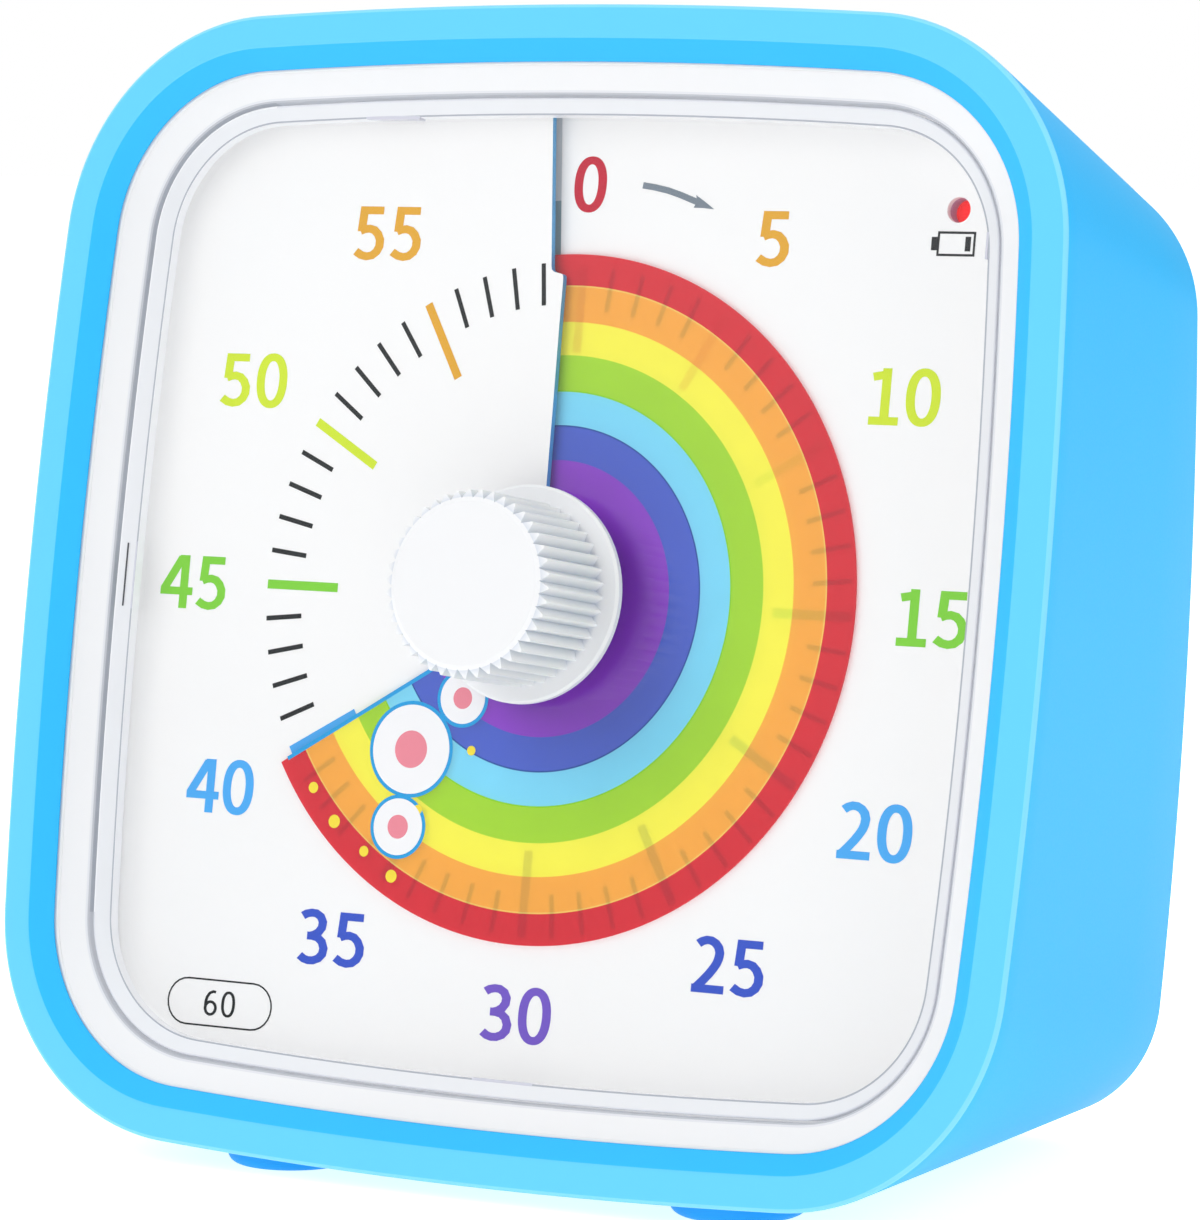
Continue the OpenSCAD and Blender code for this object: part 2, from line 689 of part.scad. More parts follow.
module gear_motor() {
  color([0.6, 0.62, 0.65]) placed() translate([motor_axis[0], motor_axis[1], 0]) difference() {
    union() {
      translate([0, 0, motor_front_z - motor_length])
        cylinder(r = motor_radius, h = motor_length);
      translate([-motor_radius - 2.6, -2.5, motor_front_z - 1])
        cube([2 * motor_radius + 5.2, 5, 1]);
      translate([-3, motor_radius - 1, motor_front_z - 6]) cube([6, 2.4, 4]);
    }
    translate([0, 0, motor_front_z - 3.2])
      cylinder(r = motor_shaft_radius + running_gap, h = 3.2 + cut);
  }
}

module gear_plate() {
  color([0.82, 0.83, 0.85]) placed() difference() {
    translate([0, 0, gear_plate_back_z])
      linear_extrude(gear_plate_thickness) difference() {
        hull() {
          for (p = concat(plate_screw_places, [[gear_axis[0] - 4, gear_axis[1] + 4],
              [motor_axis[0] - 2.5, motor_axis[1] + 4.5]]))
            translate(p) circle(r = pillar_radius + 0.8, $fn = 32);
        }
        circle(r = shaft_radius + running_gap);
        translate(gear_axis) circle(r = arbor_radius);
        translate(motor_axis) circle(r = motor_shaft_radius + 0.6);
        for (p = plate_screw_places) translate(p) circle(r = 1);
      }
  }
}

module plate_screws() {
  color(steel) placed() for (p = plate_screw_places)
    translate([p[0], p[1], 0]) {
      translate([0, 0, gear_plate_back_z - 1]) cylinder(r = plate_screw_head, h = 1);
      translate([0, 0, gear_plate_back_z - 0.2]) cylinder(r = 0.78, h = plate_screw_length);
    }
}

board_z = gear_plate_back_z - 3.4;
board_thickness = 1.2;
board_place = [14, 3];
board_size = [16, 26];
module circuit_board() {
  color([0.15, 0.45, 0.3]) placed() {
    translate([board_place[0], board_place[1] - 6, board_z])
      difference() {
        cube([board_size[0], board_size[1], board_thickness]);
        for (y = [3, board_size[1] - 3])
          translate([3, y, -cut]) cylinder(r = 0.9, h = board_thickness + 2 * cut);
      }
    translate([board_place[0] + 5, board_place[1] + 2, board_z + board_thickness])
      cube([7, 6, 1.6]);
    translate([board_place[0] + 6, board_place[1] + 12, board_z + board_thickness])
      cylinder(r = 2, h = 2);
  }
}

module low_battery_lamp() {
  flange_z = plate_back_z - 1;
  color([0.85, 0.1, 0.15]) placed() translate([lamp_x, lamp_y, 0]) {
    translate([0, 0, plate_back_z - 0.4])
      cylinder(r = lamp_radius, h = -1.6 - lamp_radius - plate_back_z + 0.4);
    translate([0, 0, flange_z]) cylinder(r = lamp_radius + 0.35, h = 0.95);
    intersection() {
      translate([0, 0, -1.6 - lamp_radius]) sphere(r = lamp_radius);
      translate([0, 0, -1.6 - lamp_radius]) cylinder(r = lamp_radius, h = lamp_radius);
    }
    for (x = [-0.6, 0.6])
      translate([x - 0.25, -0.25, flange_z - 2.4]) cube([0.5, 0.5, 2.6]);
  }
}

speaker_place = [0, 14];
module piezo_buzzer() {
  color([0.1, 0.1, 0.12]) placed() on_back()
    translate([speaker_place[0], speaker_place[1], shell_back_inner + 0.2]) difference() {
      cylinder(r = buzzer_radius, h = buzzer_height);
      translate([0, 0, -cut]) cylinder(r = 1.4, h = cut + 2);
    }
}

// Battery bay, in the back's frame
bay_wall = 1.4;
bay_length = cell_length + 1.6 + spring_length + 1.6;
bay_width = 2 * (cell_radius + cell_gap);
bay_front = shell_back + door_thickness + 0.4;
cell_z = bay_front + cell_radius + 0.2;
bay_back = cell_z + cell_radius + cell_gap;
cell_start = -bay_length / 2 + 0.8 + spring_length;
module battery_cell() {
  color([0.25, 0.25, 0.28]) placed() on_back()
    translate([cell_start, cell_y, cell_z]) rotate([0, 90, 0]) {
      cylinder(r = cell_radius, h = cell_length);
      translate([0, 0, cell_length - 0.2]) cylinder(r = 2.7, h = 1.3);
    }
}

coil_turns = 3.5;
coil_steps = 14;
function coil_point(t) =
  let (a = 360 * t, r = coil_radius * (1 - 0.31 * t / coil_turns))
  [r * cos(a), r * sin(a), 0.3 + (spring_length - 0.6) * t / coil_turns];
module negative_spring() {
  wire = 0.3;
  rings = [for (i = [0:coil_turns * coil_steps])
    let (t = i / coil_steps, c = coil_point(t), a = 360 * t,
      out = [cos(a), sin(a), 0])
    [for (k = [0:5]) c + wire * (cos(60 * k) * out + sin(60 * k) * [0, 0, 1])]];
  color(steel) placed() on_back() {
    translate([-bay_length / 2 + 0.5, cell_y, cell_z]) rotate([0, 90, 0]) skin(rings);
    translate([-bay_length / 2 + 0.05, cell_y - contact_size / 2, cell_z - contact_size / 2])
      cube([0.6, contact_size, contact_size]);
  }
}

module positive_contact() {
  color(steel) placed() on_back() {
    translate([bay_length / 2 - 0.45, cell_y - contact_size / 2, cell_z - contact_size / 2])
      cube([0.4, contact_size, contact_size]);
  }
}

door_length = bay_length + 1.6;
door_low = cell_y - bay_width / 2 - 0.6;
door_high = cell_y + bay_width / 2 + 1.2;
door_axis_y = door_low + door_thickness / 2;
door_axis_z = shell_back + door_thickness / 2;
door_pin_length = 1;

module door_room(grow) {
  translate([-door_length / 2 - grow, door_low - grow, shell_back - cut])
    cube([door_length + 2 * grow, door_high - door_low + 2 * grow,
      door_thickness + cut + grow]);
}

module battery_door() {
  color(shell_white) placed() on_back() difference() {
    union() {
      translate([-door_length / 2, door_axis_y, shell_back])
        cube([door_length, door_high - door_axis_y, door_thickness]);
      translate([-door_length / 2, door_axis_y, door_axis_z]) rotate([0, 90, 0])
        cylinder(r = door_thickness / 2, h = door_length);
      translate([-door_length / 2 - door_pin_length, door_axis_y, door_axis_z])
        rotate([0, 90, 0])
          cylinder(r = door_pin_radius, h = door_length + 2 * door_pin_length);
    }
    for (i = [0:2])
      translate([-5, door_high - 3 - 1.4 * i, shell_back]) rotate([0, 90, 0])
        cylinder(r = 0.4, h = 10, $fn = 24);
  }
}

switch_y = 2.5;
volume_x = -19;
duration_x = 17.5;
slot_height = 3;
slider_width = 3.4;
// Each slot's middle, and how far its slider goes left and right
switch_slots = [[volume_x, volume_travel, volume_travel], [duration_x, 0, duration_travel]];
function screw_seat(p) = back_z + back_slope * p[1] + shell_back + 3.4;
function speaker_row(k) = k == 0 ? [[0, 0]]
  : [for (i = [0:6 * k - 1]) 2.6 * k * [cos(60 * i / k), sin(60 * i / k)]];

module rear_shell() {
  color(shell_white) placed() difference() {
    union() {
      skin([
        ring(shell_inset + 1, back_z + shell_back, back_slope),
        ring(shell_inset, back_z + shell_back + 1, back_slope),
        ring(shell_inset, split_z - 0.1),
        ring(shell_inner_inset, split_z - 0.1),
        ring(shell_inner_inset, back_z + shell_back_inner, back_slope)]);
      on_back() {
        translate([-bay_length / 2 - bay_wall, cell_y - bay_width / 2 - bay_wall,
            shell_back + 0.6])
          cube([bay_length + 2 * bay_wall, bay_width + 2 * bay_wall,
            bay_back + bay_wall - shell_back - 0.6]);
        for (x = [-1, 1])
          translate([x * (door_length / 2 + 0.9) - 0.9, door_low, shell_back + 0.1])
            cube([1.8, 3, 3]);
      }
      for (p = boss_places)
        translate([p[0], p[1], screw_seat(p) - 2.4])
          cylinder(r = boss_radius + 1, h = 4.2);
      for (p = boss_places)
        translate([p[0], p[1], screw_seat(p) + 0.2])
          cylinder(r = boss_radius, h = boss_split_z - 0.1 - screw_seat(p) - 0.2);
    }
    on_back() {
      translate([-bay_length / 2, cell_y - bay_width / 2, shell_back - cut])
        cube([bay_length, bay_width, bay_back - shell_back + cut]);
      door_room(door_gap);
      translate([-door_length / 2 - door_pin_length - 0.1, door_axis_y, door_axis_z])
        rotate([0, 90, 0])
          cylinder(r = door_pin_radius + running_gap,
            h = door_length + 2 * door_pin_length + 0.2);
      for (k = [0:2]) for (p = speaker_row(k))
        translate([speaker_place[0] + p[0], speaker_place[1] + p[1], shell_back - cut])
          cylinder(r = speaker_hole_radius, h = case_wall + 2 * cut, $fn = 24);
      for (s = switch_slots)
        translate([s[0] - s[1] - slider_width / 2 - 0.2, switch_y - slot_height / 2,
            shell_back - cut])
          cube([slider_width + s[1] + s[2] + 0.4, slot_height, case_wall + 2 * cut]);
    }
    for (p = boss_places) {
      translate([p[0], p[1], screw_seat(p) - cut])
        cylinder(r = screw_radius + 0.2, h = boss_split_z - screw_seat(p) + 2 * cut);
      translate([p[0], p[1], screw_seat(p) - 9]) cylinder(r = 2.3, h = 9);
    }
  }
}

module case_screws() {
  color(steel) placed() for (p = boss_places)
    translate([p[0], p[1], screw_seat(p)]) difference() {
      union() {
        translate([0, 0, -1.6]) cylinder(r = 2, h = 1.6);
        translate([0, 0, -0.2])
          cylinder(r = screw_radius - 0.02, h = boss_split_z + 5.5 - screw_seat(p) + 0.2);
      }
      for (turn = [0, 90])
        rotate([0, 0, turn])
          translate([-1.1, -0.25, -1.6 - cut]) cube([2.2, 0.5, cut + 0.8]);
    }
}

module slider(x) {
  translate([x - slider_width / 2, switch_y - slot_height / 2 + 0.2, shell_back - 0.7]) {
    difference() {
      cube([slider_width, slot_height - 0.4, case_wall + 1.7]);
      for (i = [0:2])
        translate([0.6 + i * 0.85, -cut, -cut]) cube([0.4, slot_height + 2 * cut, cut + 0.3]);
    }
  }
  translate([x - slider_width / 2 - 0.8, switch_y - slot_height / 2 - 0.6,
    shell_back_inner + 0.15]) cube([slider_width + 1.6, slot_height + 1.2, 0.8]);
}
module volume_slider() {
  color([0.3, 0.31, 0.33]) placed() on_back() slider(volume_x);
}
module duration_slider() {
  color([0.3, 0.31, 0.33]) placed() on_back() slider(duration_x);
}

module slide_switches() {
  color([0.7, 0.72, 0.75]) placed() on_back()
    for (s = switch_slots)
      translate([s[0] - s[1] - slider_width / 2 - 1.4, switch_y - switch_height / 2,
          shell_back_inner + 1.15])
        cube([slider_width + s[1] + s[2] + 2.8, switch_height, switch_depth]);
}

protective_sleeve();
front_shell();
clear_window();
dial_card();
time_disc();
disc_hub();
knob();
drive_shaft();
shaft_clip();
clutch_spring();
carrier_plate();
centre_wheel();
intermediate_gear();
intermediate_arbor();
motor_pinion();
gear_motor();
gear_plate();
circuit_board();
low_battery_lamp();
piezo_buzzer();
battery_cell();
negative_spring();
positive_contact();
rear_shell();
battery_door();
volume_slider();
duration_slider();
slide_switches();
case_screws();
plate_screws();
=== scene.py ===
"""Looks of the visual countdown timer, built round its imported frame."""
import math
import bmesh
import bpy
from mathutils import Matrix, Vector


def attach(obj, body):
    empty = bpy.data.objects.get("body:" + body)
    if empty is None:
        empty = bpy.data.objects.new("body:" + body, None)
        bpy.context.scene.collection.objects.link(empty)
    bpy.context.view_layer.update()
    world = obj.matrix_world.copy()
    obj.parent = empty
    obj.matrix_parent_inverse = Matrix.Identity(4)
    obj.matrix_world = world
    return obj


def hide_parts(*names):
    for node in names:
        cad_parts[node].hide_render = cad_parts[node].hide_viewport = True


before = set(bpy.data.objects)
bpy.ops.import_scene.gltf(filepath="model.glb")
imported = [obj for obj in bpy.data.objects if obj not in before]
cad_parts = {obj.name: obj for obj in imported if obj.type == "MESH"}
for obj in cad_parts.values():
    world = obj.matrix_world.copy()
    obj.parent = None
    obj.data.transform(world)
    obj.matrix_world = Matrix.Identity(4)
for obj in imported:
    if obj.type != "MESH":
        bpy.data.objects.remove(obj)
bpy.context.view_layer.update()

# ---------------------------------------------------------------- sizes, in mm, as in the part
FRONT_SIZE = 86
CORNER_RADIUS = 17.1
SIDE_BOW = 0.7
DRAFT = math.radians(10)
BACK_ANGLE = math.radians(6.2)
LIP_Z = 6.1
EDGE_Z = 5.75
BACK_Z = -34.1
FOOT_HEIGHT = 1.2
HALF = FRONT_SIZE / 2
STAND = FOOT_HEIGHT + HALF * math.cos(DRAFT) - EDGE_Z * math.sin(DRAFT)
MIDDLE_Y = 11.442643
SLOPE = math.tan(BACK_ANGLE)
CORNER_STEPS = 28
SIDE_STEPS = 16
WHOLE = 2 * math.pi

# each side of the outline is a flat arc, and each corner a tight one
half_chord = HALF - CORNER_RADIUS
SIDE_RADIUS = (half_chord ** 2 + SIDE_BOW ** 2) / (2 * SIDE_BOW)
SIDE_CENTRE = HALF - SIDE_RADIUS
corner_reach = SIDE_RADIUS - CORNER_RADIUS
CORNER_CENTRE = (SIDE_CENTRE + math.sqrt(2 * corner_reach ** 2 - SIDE_CENTRE ** 2)) / 2
SIDE_TURN = math.atan2(CORNER_CENTRE, CORNER_CENTRE - SIDE_CENTRE)


def outline(inset):
    """The rounded square, clockwise from the left end of its top side."""
    quarter = []
    for i in range(SIDE_STEPS):
        a = SIDE_TURN * (2 * i / SIDE_STEPS - 1)
        r = SIDE_RADIUS - inset
        quarter.append((r * math.sin(a), SIDE_CENTRE + r * math.cos(a)))
    for i in range(CORNER_STEPS):
        a = SIDE_TURN + (math.pi / 2 - 2 * SIDE_TURN) * i / CORNER_STEPS
        r = CORNER_RADIUS - inset
        quarter.append((CORNER_CENTRE + r * math.sin(a), CORNER_CENTRE + r * math.cos(a)))
    points = []
    for q in range(4):
        for x, y in quarter:
            for _ in range(q):
                x, y = y, -x
            points.append((x, y))
    return points


def ring(inset, z, slope=0.0):
    """A ring whose inset follows the drafted sides, on a plane that slopes up the dial."""
    draft = math.tan(DRAFT)
    low, high = outline(inset + draft * EDGE_Z), outline(inset + draft * (EDGE_Z - 1))
    points = []
    for a, b in zip(low, high):
        spread = (b[0] - a[0], b[1] - a[1])
        level = (z + slope * a[1]) / (1 - slope * spread[1])
        points.append((a[0] + level * spread[0], a[1] + level * spread[1], level))
    return points


def straight_ring(inset, z):
    """A ring with the same inset at every level."""
    return [(x, y, z) for x, y in outline(inset)]


def reach(angle, inset):
    """Distance from the dial's centre to the inset outline, clockwise from the top."""
    a = abs((angle + math.pi / 4) % (math.pi / 2) - math.pi / 4)
    u = (math.sin(a), math.cos(a))

    def to_circle(cx, cy, r):
        along = u[0] * cx + u[1] * cy
        return along + math.sqrt(along * along - cx * cx - cy * cy + r * r)

    side = to_circle(0, SIDE_CENTRE, SIDE_RADIUS - inset)
    if side * u[0] <= (SIDE_RADIUS - inset) * math.sin(SIDE_TURN):
        return side
    return to_circle(CORNER_CENTRE, CORNER_CENTRE, CORNER_RADIUS - inset)


def stood(p):
    """From the case's own frame (x right, y up the dial, z out of it) to where it stands."""
    x, y, z = p
    s, c = math.sin(DRAFT), math.cos(DRAFT)
    return Vector((x, y * s - z * c - MIDDLE_Y, y * c + z * s + STAND)) / 1000


DIAL = stood((0, 0, 0))


# ---------------------------------------------------------------- materials
class Nodes:
    """Short names for building one material's nodes."""

    def __init__(self, name):
        self.material = bpy.data.materials.new(name)
        self.material.use_nodes = True
        self.tree = self.material.node_tree
        self.tree.nodes.clear()
        self.out = self.tree.nodes.new("ShaderNodeOutputMaterial")

    def add(self, kind, **inputs):
        node = self.tree.nodes.new(kind)
        for key, value in inputs.items():
            self.put(node, key.replace("_", " "), value)
        return node

    def put(self, node, key, value):
        """Links or sets an input, found by its name or by its place."""
        socket = node.inputs[key]
        if isinstance(value, bpy.types.NodeSocket):
            self.tree.links.new(value, socket)
        else:
            socket.default_value = value

    def place(self):
        return self.add("ShaderNodeTexCoord").outputs["Object"]

    def noise(self, scale, place=None, detail=2.0):
        place = self.place() if place is None else place
        node = self.add("ShaderNodeTexNoise", Vector=place, Scale=scale, Detail=detail)
        return node.outputs["Fac"]

    def span(self, value, low, high):
        """A value from 0 to 1, spread from low to high."""
        node = self.add("ShaderNodeMapRange", Value=value, To_Min=low, To_Max=high)
        return node.outputs["Result"]

    def blend(self, factor, a, b):
        node = self.add("ShaderNodeMix")
        node.data_type = "RGBA"
        for key, value in (("Factor", factor), (6, a), (7, b)):
            self.put(node, key, value)
        return node.outputs[2]

    def math(self, operation, a, b):
        node = self.add("ShaderNodeMath")
        node.operation = operation
        self.put(node, 0, a)
        self.put(node, 1, b)
        return node.outputs[0]

    def vector(self, operation, a, b=None, output="Vector"):
        node = self.add("ShaderNodeVectorMath")
        node.operation = operation
        self.put(node, 0, a)
        if b is not None:
            self.put(node, "Scale" if operation == "SCALE" else 1, b)
        return node.outputs[output]

    def pair(self, kind, a, b):
        """A shader node that takes two shaders as its last two inputs."""
        node = self.add(kind)
        self.put(node, len(node.inputs) - 2, a.outputs[0])
        self.put(node, len(node.inputs) - 1, b.outputs[0])
        return node

    def show(self, shader):
        self.tree.links.new(shader.outputs[0], self.out.inputs["Surface"])
        return self.material


def srgb(r, g, b):
    def linear(v):
        v /= 255
        return v / 12.92 if v <= 0.04045 else ((v + 0.055) / 1.055) ** 2.4
    return (linear(r), linear(g), linear(b), 1)


def shaded(c, k):
    return (c[0] * k, c[1] * k, c[2] * k, 1)


MOTTLE_SCALE = 90.0
BUMP_DEPTH = 0.00003


def plastic_nodes(name, colour, rough=0.4, grain=0.0, grain_scale=4000.0, mottle=0.03,
                  coat=0.0, subsurface=0.0, metal=0.0, rough_spread=0.05, brushed=None,
                  specular=0.5):
    """Moulded or metal surface: fine mottling in colour and roughness, and a fine bump."""
    n = Nodes(name)
    place = n.place()
    if brushed:
        place = n.add("ShaderNodeMapping", Vector=place, Scale=brushed).outputs["Vector"]
    wide = n.noise(MOTTLE_SCALE, place, 3.0)
    fine = n.noise(grain_scale, place)
    shader = n.add("ShaderNodeBsdfPrincipled", Metallic=metal, Specular_IOR_Level=specular,
                   Coat_Weight=coat, Coat_Roughness=0.08)
    n.put(shader, "Base Color",
          n.blend(wide, shaded(colour, 1 - mottle), shaded(colour, 1 + mottle * 0.6)))
    n.put(shader, "Roughness",
          n.span(fine, max(0.0, rough - rough_spread), rough + rough_spread))
    if subsurface:
        n.put(shader, "Subsurface Weight", subsurface)
        n.put(shader, "Subsurface Scale", 0.002)
        n.put(shader, "Subsurface Radius", (0.8, 0.9, 1.0))
    if grain:
        bump = n.add("ShaderNodeBump", Height=fine, Strength=grain, Distance=BUMP_DEPTH)
        n.put(shader, "Normal", bump.outputs["Normal"])
    n.show(shader)
    return n, shader


def plastic(name, colour, **look):
    return plastic_nodes(name, colour, **look)[0].material


SILICONE = {"rough": 0.5, "grain": 0.12, "grain_scale": 5000.0, "mottle": 0.02,
            "specular": 0.3}
MATERIALS = {
    "sleeve": plastic("sleeve_silicone", srgb(16, 188, 255), **SILICONE),
    # the chamfer, lip and edge are the sleeve's silicone in paler tones: painted sheen, and a
    # painted highlight on the rounded edge
    "chamfer": plastic("sleeve_chamfer_painted_sheen", srgb(50, 194, 255), **SILICONE),
    "lip": plastic("sleeve_lip_painted_sheen", srgb(102, 211, 255), **SILICONE),
    "edge": plastic("sleeve_edge_painted_highlight", srgb(130, 222, 255), rough=0.35, grain=0.05,
                    grain_scale=5000.0, mottle=0.02),
    # the feet's silicone is paler than the sleeve's: painted light against the shade they stand
    # in
    "foot": plastic("foot_painted_light_silicone", srgb(34, 186, 250), rough=0.55, grain=0.15),
    "shell": plastic("white_moulding", srgb(242, 243, 245), rough=0.38, grain=0.08,
                     mottle=0.008),
    # grey tones painted as shade down the gap between the bezel and the window
    "seam_shade_1": plastic("painted_shade_near_bezel", srgb(230, 232, 237), mottle=0.01),
    "seam_shade_2": plastic("painted_shade_fall", srgb(194, 197, 205), rough=0.45, mottle=0.02),
    "seam_shade_3": plastic("painted_shade_foot", srgb(170, 175, 185), rough=0.5),
    "card": plastic("printed_sheet", srgb(252, 252, 252), rough=0.42, grain=0.04,
                    grain_scale=2500.0, mottle=0.006),
    # the blue on the card's cut edge at the slit is a painted reflection
    "cut_edge": plastic("cut_edge_painted_reflection", srgb(70, 160, 215), rough=0.45, grain=0.05),
    "well": plastic("lamp_tube", srgb(186, 160, 196), rough=0.45, grain=0.08),
    # grey-blue strips that stand in for the shade inside the slit: painted shade
    "slit_pale": plastic("slit_shade_strip", srgb(212, 222, 232), rough=0.5, grain=0.08, mottle=0.04),
    "slit_deep": plastic("slit_shade_strip_end", srgb(134, 166, 180), rough=0.5, grain=0.08,
                         mottle=0.04),
    "inner": plastic("grey_moulding", srgb(205, 207, 213), rough=0.5, grain=0.1),
    "gear": plastic("natural_acetal", srgb(236, 228, 200), rough=0.42, subsurface=0.1),
    "steel": plastic("drawn_steel", srgb(190, 192, 197), rough=0.25, metal=1.0, mottle=0.06,
                     brushed=(1.0, 1.0, 14.0), rough_spread=0.08),
    "can": plastic("plated_can", srgb(150, 154, 160), rough=0.34, metal=1.0, mottle=0.08),
    "board": plastic("green_laminate", srgb(22, 92, 58), rough=0.35, coat=0.4, mottle=0.12),
    "black": plastic("black_moulding", srgb(24, 24, 27), rough=0.45, grain=0.1, mottle=0.1),
    "cell": plastic("cell_wrap", srgb(52, 52, 58), rough=0.25, coat=0.5, mottle=0.1),
    "slider": plastic("slider_moulding", srgb(70, 72, 78), rough=0.5, grain=0.15, mottle=0.06),
}

INK_COLOURS = {
    "red": (199, 15, 52), "orange": (230, 169, 40), "lime": (212, 235, 40),
    "green": (127, 213, 54), "blue": (70, 174, 249), "indigo": (50, 84, 202),
    "violet": (116, 86, 200), "grey": (122, 134, 146), "dark": (14, 22, 26),
    "white": (250, 250, 252), "cyan": (22, 160, 226), "pink": (240, 140, 156),
    "yellow": (250, 226, 60)}
INKS = {name: plastic("ink_" + name, srgb(*colour), rough=0.5, grain=0.05,
                      grain_scale=3000.0, mottle=0.05, specular=0.12)
        for name, colour in INK_COLOURS.items()}

BAND_COLOURS = [srgb(226, 44, 60), srgb(255, 184, 76), srgb(255, 250, 84), srgb(176, 226, 52),
                srgb(138, 228, 255), srgb(84, 110, 214), srgb(156, 74, 216)]
# thin lines at the inner edges of bands 0, 3 and 4, counted from the rim
BAND_LINES = {0: srgb(255, 216, 110), 3: srgb(150, 220, 10), 4: srgb(40, 88, 170)}
RIM_COLOUR = srgb(190, 60, 80)
RIM_WIDTH = 0.08
DISC_RADIUS = 25.4
BAND_WIDTH = 2.56
BANDS_FROM = DISC_RADIUS + 0.1
LINE_INNER, LINE_OUTER = 0.05, 0.06
POLAR_SIZE = 30  # radius at which the film's U reaches 1


def clear_to_light(n, shader):
    """Finishes a clear plastic: lamp light passes straight through it."""
    clear = n.add("ShaderNodeBsdfTransparent", Color=(0.99, 0.99, 0.99, 1))
    path = n.add("ShaderNodeLightPath")
    mix = n.pair("ShaderNodeMixShader", shader, clear)
    n.put(mix, 0, n.math("MAXIMUM", path.outputs["Is Shadow Ray"],
                         path.outputs["Is Diffuse Ray"]))
    return n.show(mix)


def lens_material():
    """Clear plate that refracts what is seen through it."""
    n = Nodes("clear_plate")
    polish = n.span(n.noise(60.0), 0.005, 0.015)
    glass = n.add("ShaderNodeBsdfPrincipled", Base_Color=(1, 1, 1, 1), Roughness=polish,
                  IOR=1.4, Transmission_Weight=1.0)
    return clear_to_light(n, glass)


def rim_material(name, colour):
    """Satin edge of the clear plate."""
    n = Nodes(name)
    tone = n.blend(n.noise(300.0), shaded(colour, 0.985), shaded(colour, 1.01))
    return clear_to_light(n, n.add("ShaderNodeBsdfPrincipled", Base_Color=tone, Roughness=0.25))


def film_material(see_through=0.3):
    """Colour rings read from the radius, which the disc's mesh keeps in its UV map.

    A share of what lies below shows through the rings, and light passes them uncoloured.
    """
    n = Nodes("ring_printed_film")
    uv = n.add("ShaderNodeUVMap")
    uv.uv_map = "polar"
    split = n.add("ShaderNodeSeparateXYZ", Vector=uv.outputs["UV"])
    ramp = n.add("ShaderNodeValToRGB", Fac=split.outputs["X"])
    ramp.color_ramp.interpolation = "CONSTANT"
    stops = ramp.color_ramp.elements
    stops[0].position, stops[0].color = 0, BAND_COLOURS[6]
    stops[1].position, stops[1].color = (DISC_RADIUS - RIM_WIDTH) / POLAR_SIZE, RIM_COLOUR
    for k in range(6):
        edge = BANDS_FROM - BAND_WIDTH * (k + 1)
        if k in BAND_LINES:
            stops.new((edge - LINE_INNER) / POLAR_SIZE).color = BAND_LINES[k]
            edge += LINE_OUTER
        stops.new(edge / POLAR_SIZE).color = BAND_COLOURS[k]
    tint = n.vector("SCALE", ramp.outputs["Color"], n.span(n.noise(400.0), 0.97, 1.03))
    shader = n.add("ShaderNodeBsdfPrincipled", Base_Color=tint, Roughness=0.4,
                   Specular_IOR_Level=0.2)
    below = n.add("ShaderNodeNewGeometry").outputs["Backfacing"]
    path = n.add("ShaderNodeLightPath")
    clear = n.math("MAXIMUM", below, path.outputs["Is Shadow Ray"])
    through = n.add("ShaderNodeBsdfTransparent",
                    Color=n.blend(clear, tint, (0.98, 0.98, 0.98, 1)))
    mix = n.pair("ShaderNodeMixShader", shader, through)
    n.put(mix, 0, n.math("MAXIMUM", clear, see_through))
    return n.show(mix)


def lamp_material():
    """Red resin that glows a little unevenly."""
    n = Nodes("lamp_resin")
    return n.show(n.add("ShaderNodeBsdfPrincipled", Base_Color=srgb(225, 6, 24), Roughness=0.35,
                        Specular_IOR_Level=0.15, Emission_Color=srgb(255, 0, 8),
                        Emission_Strength=n.span(n.noise(900.0), 0.45, 0.7)))


KNOB_ROOTS = (0.00612, 0.0067)  # radii between which the painted groove shade fades to white, in m
KNOB_FACE = 0.01185  # height over the dial from which the knob has no painted groove shade, in m
GROOVE_SHADE_COLOUR = srgb(214, 220, 230)


def knob_material():
    """White moulding with painted shade in its grooves, a shade greyer near the tooth roots."""
    n, shader = plastic_nodes("knob_moulding", srgb(242, 243, 245), rough=0.33, grain=0.03,
                              mottle=0.008)
    white = shader.inputs["Base Color"].links[0].from_socket
    outward = (0, -math.cos(DRAFT), math.sin(DRAFT))
    off = n.vector("SUBTRACT", n.place(), DIAL)
    radius = n.vector("LENGTH", n.vector("CROSS_PRODUCT", off, outward), output="Value")
    height = n.vector("DOT_PRODUCT", off, outward, "Value")
    depth = n.add("ShaderNodeMapRange", Value=radius, From_Min=KNOB_ROOTS[0],
                  From_Max=KNOB_ROOTS[1], To_Min=1.0, To_Max=0.0)
    groove_shade = n.math("MULTIPLY", depth.outputs["Result"], n.math("LESS_THAN", height, KNOB_FACE))
    n.put(shader, "Base Color", n.blend(groove_shade, white, GROOVE_SHADE_COLOUR))
    return n.material


MATERIALS.update({
    "knob": knob_material(),
    "lens": lens_material(),
    "rim": rim_material("satin_lens_rim", srgb(233, 235, 239)),
    # the rim's outer edge and inner wall carry a painted highlight, the outer edge off the left
    # a painted shade
    "rim_painted_highlight": rim_material("satin_lens_painted_highlight", srgb(247, 248, 251)),
    "rim_painted_shade": rim_material("satin_lens_painted_shade", srgb(224, 226, 233)),
    # the grey on the rim's crest is a painted shade line
    "line": rim_material("lens_edge_painted_shade_line", srgb(178, 182, 192)),
    "pad": rim_material("lens_pad", srgb(212, 212, 224)),
    "film": film_material(),
    "lamp": lamp_material(),
})


